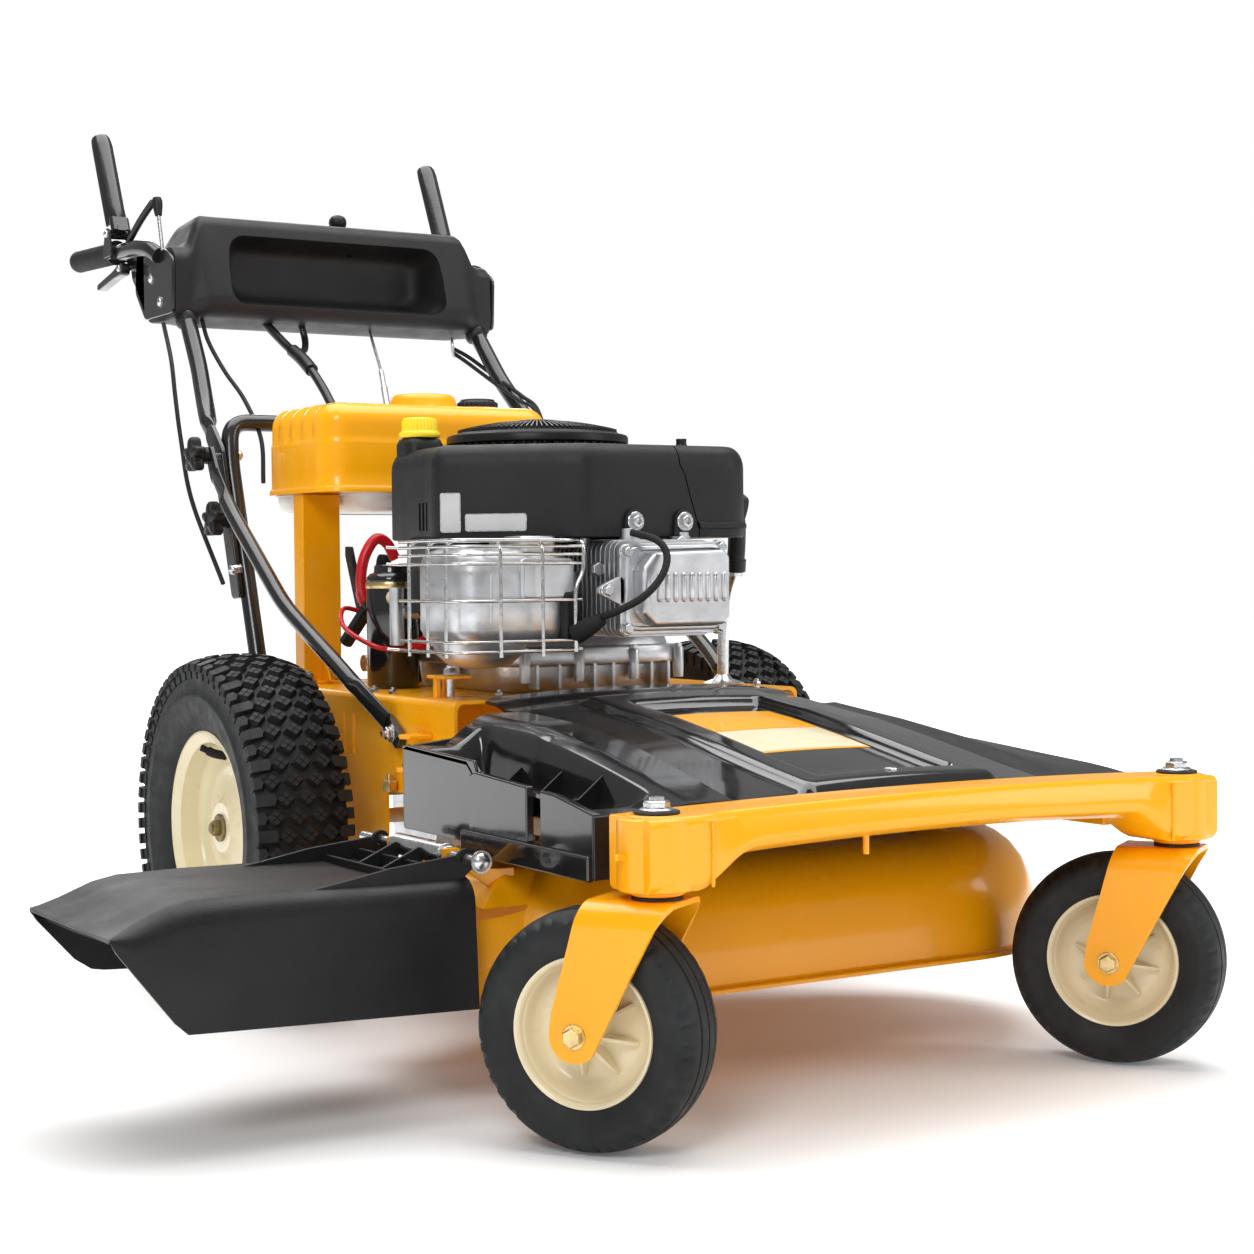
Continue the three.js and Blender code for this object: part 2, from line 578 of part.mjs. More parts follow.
function buildRearRim() {
  const profile = [
    [0, -REAR_X + 62], [9.5, -REAR_X + 62], [9.5, -40], [24, -40], [24, -6], [98, -8],
    [RIM_R, -44], [RIM_R, -40.3], [104, -36], [104, 36], [RIM_R, 40.3], [RIM_R, 44],
    [98, 5], [28, 14], [12, 14], [12, 22], [0, 22],
  ];
  return wheel(profile, 20);
}

function buildCasterTyre() {
  const h = CASTER_W / 2;
  return wheel([
    [63, -22], [84, -h], [100, -h + 2], [CASTER_R, -18],
    [CASTER_R, 18], [100, h - 2], [84, h], [63, 22],
    [84, 29], [102, 0], [84, -29],
  ], 20);
}

function buildCasterRim() {
  return wheel([
    [6.9, -34], [16, -34], [20, -10], [54, -12], [CASTER_RIM_R, -27], [62.6, -21.5],
    [62.6, 21.5], [CASTER_RIM_R, 27], [54, -6], [20, -4], [16, 34], [6.9, 34],
  ], 20);
}

function buildFork() {
  const inner = FORK_HALF - PLATE;
  const under = FORK_TOP - PLATE;
  const yoke = cut(
    prism('y', pill(-FORK_HALF, 60, FORK_HALF, FORK_TOP, 16, 2), -60, 110),
    prism('y', pill(-inner, 40, inner, under, 12, 2), -70, 120));
  const legOutline = [
    [-28, 240], [58, 240], [58, 222], [87, 116], ...arc(TRAIL, 110, 24, 0, -150, 5), [-28, 222],
  ];
  const legs = yoke.intersect(prism('x', legOutline, -FORK_HALF - 5, FORK_HALF + 5));
  const washer = bar([0, 0, FORK_TOP - 1], [0, 0, 232 - GAP], 23, 14);
  const spindle = bar([0, 0, FORK_TOP - 2], [0, 0, 320], 12.5, 14);
  const topWasher = bar([0, 0, TUBE_TOP + GAP], [0, 0, TUBE_TOP + 3], 20, 14);
  const nut = bar([0, 0, TUBE_TOP + 2.5], [0, 0, TUBE_TOP + 11], 17, 6);
  const axle = join(bar([-FORK_HALF - 10, TRAIL, 110], [FORK_HALF + 10, TRAIL, 110], 6.4, 10),
    bar([-FORK_HALF - 8, TRAIL, 110], [-FORK_HALF + 1, TRAIL, 110], 10, 6),
    bar([FORK_HALF - 1, TRAIL, 110], [FORK_HALF + 8, TRAIL, 110], 10, 6));
  return join(legs, washer, spindle, topWasher, nut, axle);
}

// ---------------------------------------------------------------- handlebar
const mirror = (side) => (points) => points.map(([x, y, z]) => [side * x, y, z]);

function buildLowerHandle() {
  const leg = (side) => mirror(side)([[LEG_X, 130, 268], [LEG_X, 262, 672], [LEG_X - 6, 276, 722]]);
  const right = leg(SIDES.right);
  const left = leg(SIDES.left).reverse();
  return tube(route([...right, ...left], 42), 11.5, 32, 7);
}

function buildUpperTube(side) {
  const at = mirror(side);
  const strap = prism('x', [[217, 484], [276, 668], [316, 708], [292, 732], [247, 686], [190, 488]],
    HANDLE_X - 3.2, HANDLE_X + 3.2);
  const upper = tube(route([[262, 300, 714], [250, 345, 748], ...TUBE_END], 16), 12, 16, 7);
  const whole = join(strap, upper);
  const placed = onSide(whole, side);
  const cuts = Object.values(KNOBS).map(([y, z]) => bar(...at([[200, y, z], [300, y, z]]), 4.4, 10));
  return cut(placed, ...cuts);
}

function buildBrace(side) {
  const path = route([
    [BRACE_X, 236, 650], [BRACE_X, 187, 603], [BRACE_X, 12, 478], [266, -130, 400], [247, -205, 345],
  ], 30);
  const pole = tube(path, 10, 16, 7);
  const top = prism('x', [
    [252, 690], [272, 684], [250, 640], [222, 628], [228, 650],
  ], BRACE_X - 6, BRACE_X + 1);
  const foot = prism('x', [[-196, 356], [-186, 342], [-226, 312], [-238, 330]], CHASSIS_X + GAP, 247);
  const whole = join(pole, top, foot);
  const placed = onSide(whole, side);
  const [y, z] = KNOBS.upper;
  return cut(placed, bar([side * 200, y, z], [side * 330, y, z], 4.4, 10));
}

// Star knob on the clamping bolt that passes through the handle.
function buildKnob(side, [y, z], reach) {
  const star = Array.from({ length: 20 }, (_, i) => {
    const angle = (i / 20) * 2 * Math.PI;
    const radius = 19 + 5 * Math.cos(5 * angle);
    return [y + radius * Math.cos(angle), z + radius * Math.sin(angle)];
  });
  const head = prism('x', star, reach + 8, reach + 26);
  const stem = bar([reach, y, z], [reach + 9, y, z], 11, 12);
  const bolt = bar([LEG_X + 12.4, y, z], [reach + 2, y, z], 4, 10);
  const whole = join(head, stem, bolt);
  return onSide(whole, side);
}

function buildConsole() {
  const outline = [
    [442, 884], [430, 905], [462, 1022], [480, 1031], [560, 1024], [600, 1004], [604, 930], [560, 880], [500, 872],
  ];
  const body = prism('x', outline, -206, 206, 6, 1);
  const tray = prism('y', pill(-172, 904, 168, 1004, 20), 400, 512, 0);
  const sides = Object.values(SIDES).map((side) => {
    const [x0, x1] = [side * 200, side * CONSOLE_X].sort((a, b) => a - b);
    return prism('x', [[452, 878], [448, 968], [470, 982], [590, 974], [600, 930], [560, 878]], x0, x1, 4, 1);
  });
  const tubeHoles = Object.values(SIDES).map((side) => (
    tube(route(mirror(side)([TUBE_END[0], TUBE_END[1], [231, 472, 912]]), 16), 13.8, 5, 8)));
  const inside = prism('x', [
    [516, 860], [556, 860], [556, 884], [596, 932], [593, 996], [516, 1012],
  ], -196, 196);
  const openings = [
    bar([KEY_X, 590, 960], [KEY_X, 640, 960], 8.5, 12),
    bar([-KEY_X, 590, 960], [-KEY_X, 640, 960], 8.5, 12),
    box(SHIFT[0] - 6, 500, 990, SHIFT[0] + 6, 580, 1060),
    box(THROTTLE[0] - 6, 544, 970, THROTTLE[0] + 6, 608, 1060),
  ];
  return cut(join(body, ...sides), tray, ...tubeHoles, inside, ...openings);
}

// Tube that carries the rubber grip, on the plate that closes the console's end.
function buildGrip(side) {
  const plate = prism('x', [
    [448, 884], [446, 962], [468, 978], [560, 1004], [650, 1006], [652, 984], [618, 972], [612, 950], [560, 890],
  ], CONSOLE_X + GAP, CONSOLE_X + 5);
  const core = bar([GRIP_X - 6, 520, 986], [GRIP_X, 640, 992], 12, 12);
  const rubber = bar([GRIP_X, 636, 992], [GRIP_X + 2, 806, 999], 16, 12);
  const cheeks = [-1, 1].map((way) => {
    const [x0, x1] = [GRIP_X + way * 14.5, GRIP_X + way * 18].sort((a, b) => a - b);
    return cut(prism('x', [[612, 985], [652, 985], [639, 1026], [622, 1026]], x0, x1),
      bar([x0 - 5, ...LEVER], [x1 + 5, ...LEVER], 3.5, 10));
  });
  const saddle = box(GRIP_X - 18, 618, 980, GRIP_X + 18, 646, 1000);
  const pin = bar([CONSOLE_X + 3, ...TRIGGER], [GRIP_X + 9, ...TRIGGER], 3, 8);
  const whole = join(plate, core, rubber, ...cheeks, saddle, pin);
  return onSide(whole, side);
}

// Half-pipe clutch lever, drawn upright on its pivot and then leaned back.
function buildClutchLever() {
  const half = [...arc(0, 0, 20, 180, 360, 8), ...arc(0, 0, 16.5, 360, 180, 8)];
  const pipe = prism('z', half, 12, 168, 0).translate([0, 2, 0]);
  const web = prism('z', [[-17, -14], [17, -14], [12, -19], [-12, -19]], -2, 20);
  const pivot = bar([-13.8, 0, 0], [13.8, 0, 0], 7, 12);
  const arm = box(-6, -19, -4, 6, 0, 5);
  const pin = bar([-17.5, 0, 0], [17.5, 0, 0], 3, 10);
  return join(pipe, web, pivot, arm, pin);
}

function buildTrigger() {
  const plate = prism('x', [
    [-8, 8], [8, 7], [36, -1], [100, -12], [104, -18], [98, -22], [32, -12], [-4, -9],
  ], -7.4, 7);
  return cut(plate, bar([-20, 0, 0], [20, 0, 0], 3.4, 10));
}

function buildShiftLever() {
  const stem = bar([0, 0, -10], [0, 0, 65], 4.5, 10);
  const knob = turned([[0, 61], [9, 61], [13, 67], [13, 75], [8, 81], [0, 82]], 12);
  return join(stem, knob);
}

const buildThrottle = () => join(
  bar([0, 0, -8], [0, 0, 40], 4, 8), prism('y', pill(-5, 38, 5, 56, 3, 1), -12, 12));

// Spade-shaped knob or key bow on a stem that runs along +Y.
const buildTurnKey = () => join(bar([0, -12, 0], [0, 10, 0], 8, 12), bar([0, 9, 0], [0, 14, 0], 12, 12),
  prism('x', pill(12, -11, 36, 11, 6, 2), -2.5, 2.5));
const buildPullKnob = () => join(bar([0, -12, 0], [0, 18, 0], 6, 12), bar([0, 17, 0], [0, 27, 0], 14, 16));

// Hand lever that raises and lowers the deck, on a block on the engine deck.
function buildHeightLever() {
  const stem = bar([0, 0, 0], [10, -14, 100], 5, 10);
  const grip = bar([9, -13, 94], [14, -20, 140], 9.5, 12);
  const hub = bar([-9, 0, 0], [9, 0, 0], 11, 14);
  return join(stem, grip, hub);
}

// ---------------------------------------------------------------- cables
const curve = (points) => new THREE.CatmullRomCurve3(points.map((p) => new THREE.Vector3(...p)));

function buildSparkLead() {
  const lead = tube(curve([
    [-84, -414, 470], [-78, -440, 473], [-50, -462, 484], [-14, -464, 508], [6, -463, 534], [0, -452, 554],
    [-4, -438, 560],
  ]), 4, 12, 6);
  return join(lead, bar([-86, -388, 463], [-84, -420, 471], 8, 10));
}

function buildBatteryCable() {
  const sleeve = tube(curve([
    [-166, 12, 462], [-176, 12, 500], [-172, 12, 535], [-156, 12, 560], [-140, 12, 556], [-128, 12, 536],
  ]), 6, 10, 6);
  const loop = tube(curve([
    [-166, 12, 466], [-205, 0, 474], [-226, -45, 452], [-210, -92, 430], [-178, -100, 424], [-150, -104, 430],
  ]), 3, 12, 6);
  return join(sleeve, loop, bar([-160, -103, 428], [-142, -105, 434], 7, 8));
}

const buildClutchRod = () => tube(curve([
  [-262, 470, 872], [-288, 372, 812], [-293, 345, 760], [-293, 326, 700], [-292, 292, 618], [-282, 209, 506],
]), 3, 12, 6);

// ---------------------------------------------------------------- assembly
add('main_frame', buildMainFrame(), YELLOW);
add('front_beam', buildFrontBeam(), YELLOW);
add('centre_cover', buildCentreCover(), GLOSS_BLACK);
add('fuel_tank', buildFuelTank(), WHITE);
add('tank_cover', buildTankCover(), YELLOW);
add('fuel_cap', buildFuelCap(), BLACK);
add('crankcase', buildCrankcase(), CAST);
add('valve_cover', buildValveCover(), CAST);
add('engine_shroud', buildShroud(), BLACK);
add('air_cleaner_cover', buildAirCleaner(), BLACK);
add('muffler', buildMuffler(), STEEL);
add('muffler_guard', buildGuard(), STEEL);
add('spark_lead', buildSparkLead(), RUBBER);
add('oil_cap', buildOilCap(), YELLOW);
add('starter_motor', buildStarter(), BLACK);
add('battery', buildBattery(), BLACK);
add('battery_cable', buildBatteryCable(), RED);
add('engine_screen', buildScreen(), BLACK);
add('crankshaft', buildCrankshaft(), STEEL);
add('transaxle', buildTransaxle(), CAST);
add('drive_belt', belt([[0, CRANK_Y, DRIVE_R], [0, TRANSAXLE_Y, INPUT_R]], DRIVE_Z), RUBBER);
add('deck_shell', buildDeckShell(), YELLOW);
add('chute', buildChute(), BLACK);
add('deck_belt', belt([
  [0, CRANK_Y, PULLEY_R], [SPINDLE_X, SPINDLE_Y, PULLEY_R], [-SPINDLE_X, SPINDLE_Y, PULLEY_R],
], BELT_Z), RUBBER);
add('lower_handle', buildLowerHandle(), TUBE_BLACK);
add('console', buildConsole(), BLACK);
add('clutch_rod_right', buildClutchRod(), STEEL);
add('shift_lever', buildShiftLever(), BLACK).position.set(...SHIFT);
add('throttle_lever', buildThrottle(), BLACK).position.set(...THROTTLE);
add('ignition_key', buildTurnKey(), STEEL).position.set(KEY_X, 604, 960);
add('choke_knob', buildPullKnob(), BLACK).position.set(-KEY_X, 604, 960);
add('height_lever', buildHeightLever(), BLACK).position.set(...HEIGHT_LEVER);

const rearTyre = buildRearTyre();
const rearRim = buildRearRim();
const casterTyre = buildCasterTyre();
const casterRim = buildCasterRim();
const fork = buildFork();
const blade = buildBlade();
const clutchLever = buildClutchLever();
const trigger = buildTrigger();

for (const [word, side] of Object.entries(SIDES)) {
  add(`cover_${word}`, buildSideCover(side), GLOSS_BLACK);
  add(`upper_tube_${word}`, buildUpperTube(side), TUBE_BLACK);
  add(`brace_${word}`, buildBrace(side), TUBE_BLACK);
  add(`star_knob_${word}_upper`, buildKnob(side, KNOBS.upper, BRACE_X + 1 + GAP), BLACK);
  add(`star_knob_${word}_lower`, buildKnob(side, KNOBS.lower, HANDLE_X + 3.2 + GAP), BLACK);
  add(`grip_${word}`, buildGrip(side), RUBBER);

  const lever = add(`clutch_lever_${word}`, clutchLever, BLACK);
  lever.position.set(side * GRIP_X, ...LEVER);
  lever.rotation.x = -THREE.MathUtils.degToRad(LEVER_LEAN);
  add(`steering_trigger_${word}`, trigger, BLACK).position.set(side * (GRIP_X + 1), ...TRIGGER);

  const rear = new THREE.Group();
  rear.position.set(side * REAR_X, 0, AXLE_Z);
  machine.add(rear);
  add(`rear_tyre_${word}`, onSide(rearTyre, side), RUBBER, rear);
  add(`rear_rim_${word}`, onSide(rearRim, side), CREAM, rear);

  const caster = new THREE.Group();
  caster.position.set(side * PIVOT_X, PIVOT_Y, 0);
  caster.rotation.z = THREE.MathUtils.degToRad(CASTER_TURN);
  machine.add(caster);
  add(`caster_fork_${word}`, fork, YELLOW, caster);
  add(`caster_tyre_${word}`, casterTyre, RUBBER, caster).position.set(0, TRAIL, CASTER_R);
  add(`caster_rim_${word}`, casterRim, CREAM, caster).position.set(0, TRAIL, CASTER_R);

  add(`blade_${word}`, blade, STEEL).position.set(side * SPINDLE_X, SPINDLE_Y, 0);
}

// The origin is the middle of the footprint, on the ground.
machine.updateMatrixWorld(true);
const bounds = new THREE.Box3().setFromObject(machine, true);
const middle = bounds.getCenter(new THREE.Vector3());
machine.position.set(-middle.x, -middle.y, -bounds.min.z);

export default machine;
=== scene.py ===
"""Looks of the wide walk-behind mower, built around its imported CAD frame.

Shapes are given in machine millimetres, as the CAD has them: the rear axle lies on X at y = 0, the
front of the machine points to -Y, +X is the operator's left and z = 0 is the ground. place() turns
them into metres in the frame.
"""
import math
import random

import bmesh
import bpy
from mathutils import Matrix, Vector


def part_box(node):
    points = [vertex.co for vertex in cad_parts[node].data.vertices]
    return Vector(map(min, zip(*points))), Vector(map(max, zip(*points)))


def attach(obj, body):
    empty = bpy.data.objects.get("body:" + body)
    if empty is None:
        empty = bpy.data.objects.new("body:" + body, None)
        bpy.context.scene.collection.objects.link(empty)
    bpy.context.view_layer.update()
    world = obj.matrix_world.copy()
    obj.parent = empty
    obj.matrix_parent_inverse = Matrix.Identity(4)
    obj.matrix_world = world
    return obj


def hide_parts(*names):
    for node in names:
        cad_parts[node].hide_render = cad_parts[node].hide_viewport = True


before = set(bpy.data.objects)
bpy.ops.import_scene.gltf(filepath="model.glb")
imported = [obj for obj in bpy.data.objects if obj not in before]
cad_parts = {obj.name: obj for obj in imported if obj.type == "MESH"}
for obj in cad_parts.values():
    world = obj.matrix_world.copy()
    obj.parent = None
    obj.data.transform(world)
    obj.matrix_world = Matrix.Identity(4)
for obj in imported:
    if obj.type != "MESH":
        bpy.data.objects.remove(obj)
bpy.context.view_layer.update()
dice = random.Random(7)

MM = 0.001
SIDES = {"right": -1, "left": 1}
right_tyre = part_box("rear_tyre_right")
left_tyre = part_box("rear_tyre_left")
MIDDLE = (right_tyre[0][0] + left_tyre[1][0]) / 2
AXLE_Y = (right_tyre[0][1] + right_tyre[1][1]) / 2


def place(point):
    x, y, z = point
    return Vector((MIDDLE + x * MM, AXLE_Y + y * MM, z * MM))


# ------------------------------------------------------------------ camera, floor and light
def make_camera():
    yaw, pitch, roll = (math.radians(a) for a in (31.888, 1.497, -0.563))
    forward = Vector((math.sin(yaw) * math.cos(pitch), math.cos(yaw) * math.cos(pitch), -math.sin(pitch)))
    right = Vector((math.cos(yaw), -math.sin(yaw), 0))
    up = right.cross(forward)
    right, up = right * math.cos(roll) + up * math.sin(roll), up * math.cos(roll) - right * math.sin(roll)
    data = bpy.data.cameras.new("camera")
    data.lens = 63.79
    data.sensor_width = 36
    camera = bpy.data.objects.new("camera", data)
    bpy.context.collection.objects.link(camera)
    turn = Matrix((right, up, -forward)).transposed().to_4x4()
    camera.matrix_world = Matrix.Translation(place((-1372, -2544, 520))) @ turn
    bpy.context.scene.camera = camera


def add_light(name, at, target, size, power):
    data = bpy.data.lights.new(name, "AREA")
    data.shape = "RECTANGLE"
    data.size, data.size_y = size
    data.energy = power
    light = bpy.data.objects.new(name, data)
    light.location = Vector(at)
    light.rotation_euler = (Vector(target) - light.location).to_track_quat("-Z", "Y").to_euler()
    bpy.context.collection.objects.link(light)


def make_stage():
    world = bpy.data.worlds.new("studio")
    world.use_nodes = True
    tree = world.node_tree
    seen = tree.nodes.new("ShaderNodeLightPath")
    strength = tree.nodes.new("ShaderNodeMapRange")
    strength.inputs["To Min"].default_value = 0.3
    strength.inputs["To Max"].default_value = 1.0
    tree.links.new(seen.outputs["Is Camera Ray"], strength.inputs["Value"])
    tree.links.new(strength.outputs["Result"], tree.nodes["Background"].inputs["Strength"])
    tree.nodes["Background"].inputs["Color"].default_value = (1, 1, 1, 1)
    bpy.context.scene.world = world
    bpy.context.scene.view_settings.view_transform = "Standard"
    mesh = bpy.data.meshes.new("floor")
    half = 14    # metres
    mesh.from_pydata([(-half, -half, 0), (half, -half, 0), (half, half * 3, 0), (-half, half * 3, 0)], [],
                     [(0, 1, 2, 3)])
    floor = bpy.data.objects.new("floor", mesh)
    bpy.context.collection.objects.link(floor)
    paper = bpy.data.materials.new("studio_paper")
    paper.use_nodes = True
    shader = paper.node_tree.nodes["Principled BSDF"]
    shader.inputs["Base Color"].default_value = (0.93, 0.93, 0.93, 1)
    shader.inputs["Roughness"].default_value = 0.85
    shader.inputs["Specular IOR Level"].default_value = 0.1
    shader.inputs["Emission Color"].default_value = (1, 1, 1, 1)
    where = paper.node_tree.nodes.new("ShaderNodeTexCoord")
    reach = paper.node_tree.nodes.new("ShaderNodeVectorMath")
    reach.operation = "LENGTH"
    glow = paper.node_tree.nodes.new("ShaderNodeMapRange")
    for name, value in (("From Min", 0.7), ("From Max", 3.2), ("To Min", 0.04), ("To Max", 1.0)):
        glow.inputs[name].default_value = value
    paper.node_tree.links.new(where.outputs["Object"], reach.inputs[0])
    paper.node_tree.links.new(reach.outputs["Value"], glow.inputs["Value"])
    paper.node_tree.links.new(glow.outputs["Result"], shader.inputs["Emission Strength"])
    mesh.materials.append(paper)
    add_light("key", (-3.0, -3.4, 3.2), (0, 0, 0.3), (1.6, 1.6), 82)
    add_light("fill", (3.2, -3.0, 2.2), (0, 0, 0.4), (1.2, 2.2), 34)
    add_light("top", (0.2, 0.2, 3.4), (0, 0, 0.2), (4.2, 3.2), 165)
    add_light("back", (1.2, 4.0, 2.6), (0, 0, 0.6), (3.0, 1.6), 50)


# ------------------------------------------------------------------ materials
def link_noise(tree, scale, detail, source):
    noise = tree.nodes.new("ShaderNodeTexNoise")
    noise.inputs["Scale"].default_value = scale
    noise.inputs["Detail"].default_value = detail
    tree.links.new(source, noise.inputs["Vector"])
    return noise.outputs["Fac"]


def spread(tree, source, low, high):
    """The middle of a noise, stretched to run from low to high."""
    span = tree.nodes.new("ShaderNodeMapRange")
    span.inputs["From Min"].default_value = 0.3
    span.inputs["From Max"].default_value = 0.7
    span.inputs["To Min"].default_value = low
    span.inputs["To Max"].default_value = high
    tree.links.new(source, span.inputs["Value"])
    return span.outputs["Result"]


def look(name, slot, color, roughness, metallic=0.0, mottle=0.06, mottle_scale=14, gloss_change=0.06,
         grain=0.0, grain_scale=900, wave=0.0, wave_scale=40, coat=0.0, **sockets):
    """A material whose colour, gloss and surface vary over the object by noise.

    grain and wave are the depths in mm of the fine texture and of the broad unevenness.
    """
    material = bpy.data.materials.new(name)
    material.use_nodes = True
    tree = material.node_tree
    shader = tree.nodes["Principled BSDF"]
    place_node = tree.nodes.new("ShaderNodeTexCoord")
    where = place_node.outputs["Object"]
    tone = tree.nodes.new("ShaderNodeMix")
    tone.data_type = "RGBA"
    tone.inputs[6].default_value = (*[c * (1 - mottle) for c in color], 1)
    tone.inputs[7].default_value = (*[min(1, c * (1 + mottle)) for c in color], 1)
    broad = link_noise(tree, mottle_scale, 4, where)
    tree.links.new(spread(tree, broad, 0, 1), tone.inputs[0])
    tree.links.new(tone.outputs[2], shader.inputs["Base Color"])
    smudge = link_noise(tree, mottle_scale * 2.3, 3, where)
    low, high = max(0.02, roughness - gloss_change), min(1, roughness + gloss_change)
    tree.links.new(spread(tree, smudge, low, high), shader.inputs["Roughness"])
    shader.inputs["Metallic"].default_value = metallic
    shader.inputs["Coat Weight"].default_value = coat
    shader.inputs["Coat Roughness"].default_value = 0.06
    for socket, value in sockets.items():
        shader.inputs[socket.replace("_", " ")].default_value = value
    normal = None
    for depth, scale, detail in ((wave, wave_scale, 2), (grain, grain_scale, 2)):
        if depth:
            bump = tree.nodes.new("ShaderNodeBump")
            bump.inputs["Distance"].default_value = depth * MM
            tree.links.new(link_noise(tree, scale, detail, where), bump.inputs["Height"])
            if normal:
                tree.links.new(normal, bump.inputs["Normal"])
            normal = bump.outputs["Normal"]
    if normal:
        tree.links.new(normal, shader.inputs["Normal"])
    material["slot"] = slot
    return material


YELLOW = look("amber_gloss_paint", "yellow", (0.98, 0.41, 0.001), 0.3, mottle=0.03, mottle_scale=6,
              wave=0.25,
              wave_scale=60, grain=0.03, grain_scale=700, coat=0.3, Specular_IOR_Level=0.3)
GLOSS = look("gloss_black_plastic", "gloss_black", (0.012, 0.012, 0.013), 0.13, mottle=0.2, wave=0.25,
             wave_scale=22,
             gloss_change=0.04, coat=0.4)
SATIN = look("satin_black_plastic", "gloss_black", (0.01, 0.01, 0.011), 0.34, mottle=0.2, grain=0.05,
             wave=0.2,
             wave_scale=20)
TEXTURED = look("textured_black_plastic", "black", (0.011, 0.011, 0.012), 0.48, mottle=0.15, grain=0.16,
                grain_scale=1100, Specular_IOR_Level=0.28)
MOULDED = look("moulded_black_plastic", "black", (0.01, 0.01, 0.011), 0.4, mottle=0.18, grain=0.05,
               grain_scale=700, Specular_IOR_Level=0.3)
GRAINED = look("grained_chute_plastic", "black", (0.012, 0.012, 0.013), 0.44, mottle=0.25, mottle_scale=9,
               grain=0.22,
               grain_scale=620, wave=0.3, wave_scale=26, Specular_IOR_Level=0.26)
TUBE = look("gloss_black_powder_coat", "tube_black", (0.011, 0.011, 0.012), 0.22, mottle=0.2, wave=0.1,
            wave_scale=90,
            grain=0.03, coat=0.3)
RUBBER = look("soft_black_rubber", "rubber", (0.012, 0.012, 0.013), 0.68, mottle=0.2, grain=0.12,
              Specular_IOR_Level=0.3)
TREAD = look("tyre_rubber", "tyre", (0.016, 0.017, 0.018), 0.6, mottle=0.25, mottle_scale=26, grain=0.15,
             grain_scale=1300, gloss_change=0.1, Specular_IOR_Level=0.3)
CREAM = look("cream_gloss_paint", "cream", (0.80, 0.70, 0.47), 0.3, mottle=0.05, mottle_scale=8, wave=0.15,
             wave_scale=50, grain=0.03, coat=0.35)
CAST = look("cast_aluminium", "cast", (0.62, 0.63, 0.65), 0.36, metallic=0.9, mottle=0.14, mottle_scale=30,
            grain=0.22,
            grain_scale=420, wave=0.2, wave_scale=70)
STEEL = look("plated_steel", "steel", (0.6, 0.61, 0.62), 0.26, metallic=1.0, mottle=0.12, mottle_scale=60,
             grain=0.03)
WIRE = look("bright_wire", "steel", (0.7, 0.7, 0.69), 0.18, metallic=1.0, mottle=0.1, mottle_scale=80)
BRASS = look("yellow_zinc", "steel", (0.66, 0.5, 0.24), 0.3, metallic=1.0, mottle=0.2, mottle_scale=90)
DULL_BRASS = look("weathered_bolt", "steel", (0.26, 0.2, 0.09), 0.5, metallic=0.8, mottle=0.3,
                  mottle_scale=120)
TANK = look("translucent_tank_plastic", "white", (0.84, 0.83, 0.8), 0.42, mottle=0.03, mottle_scale=10,
            grain=0.05,
            Subsurface_Weight=0.3)
RED = look("red_cable_rubber", "red", (0.55, 0.006, 0.012), 0.32, mottle=0.12, mottle_scale=50)
BRIGHT = look("bright_yellow_cap_plastic", "cap_yellow", (0.93, 0.66, 0.01), 0.34, mottle=0.04, grain=0.05)
IVORY = look("ivory_knob_plastic", "cream", (0.78, 0.66, 0.38), 0.4, mottle=0.06, grain=0.04)
LABEL = look("plain_label_foil", "steel", (0.56, 0.56, 0.56), 0.42, metallic=0.6, mottle=0.05, grain=0.02)
BADGE_LOW = look("plain_badge_cream", "cream", (0.93, 0.84, 0.56), 0.2, mottle=0.05, coat=0.5)
DARK = look("blackened_steel", "black", (0.02, 0.02, 0.021), 0.55, mottle=0.2, grain=0.05)


# ------------------------------------------------------------------ shapes: (points, faces)
def loft(rings, loop=False, caps=True, around=True):
    """Faces between rings of equally many points."""
    count = len(rings[0])
    points = [Vector(p) for ring in rings for p in ring]
    faces = []
    for i in range(len(rings) if loop else len(rings) - 1):
        a = i * count
        b = (i + 1) % len(rings) * count
        for k in range(count if around else count - 1):
            n = (k + 1) % count
            faces.append((a + k, a + n, b + n, b + k))
    if caps and not loop:
        faces.append(tuple(range(count)))
        faces.append(tuple(range(len(points) - count, len(points))))
    return points, faces


def merge(*shapes):
    points, faces = [], []
    for some_points, some_faces in shapes:
        base = len(points)
        points += some_points
        faces += [tuple(base + i for i in face) for face in some_faces]
    return points, faces


def moved(shape, change):
    return [Vector(change(p)) for p in shape[0]], shape[1]


def mirrored(shape):
    return moved(shape, lambda p: (-p.x, p.y, p.z))


def on_side(shape, side):
    return shape if side > 0 else mirrored(shape)


AXES = {
    "x": lambda u, v, w: Vector((w, u, v)),
    "y": lambda u, v, w: Vector((u, w, v)),
    "z": lambda u, v, w: Vector((u, v, w)),
}


def prism(axis, outline, low, high):
    """An outline of (y, z) along x, of (x, z) along y or of (x, y) along z."""
    put = AXES[axis]
    return loft([[put(u, v, w) for u, v in outline] for w in (low, high)])


def slab(outline, side, near, far):
    """An upright plate across X, between two distances from the mid-plane on one side of it."""
    return prism("x", outline, *sorted((side * near, side * far)))


def box(x0, y0, z0, x1, y1, z1):
    return prism("z", [(x0, y0), (x1, y0), (x1, y1), (x0, y1)], z0, z1)


def arc(cx, cy, radius, start, end, steps):
    angles = [math.radians(start + (end - start) * i / steps) for i in range(steps + 1)]
    return [(cx + radius * math.cos(a), cy + radius * math.sin(a)) for a in angles]


def circle(cx, cy, radius):
    sides = 32
    return arc(cx, cy, radius, 0, 360 - 360 / sides, sides - 1)


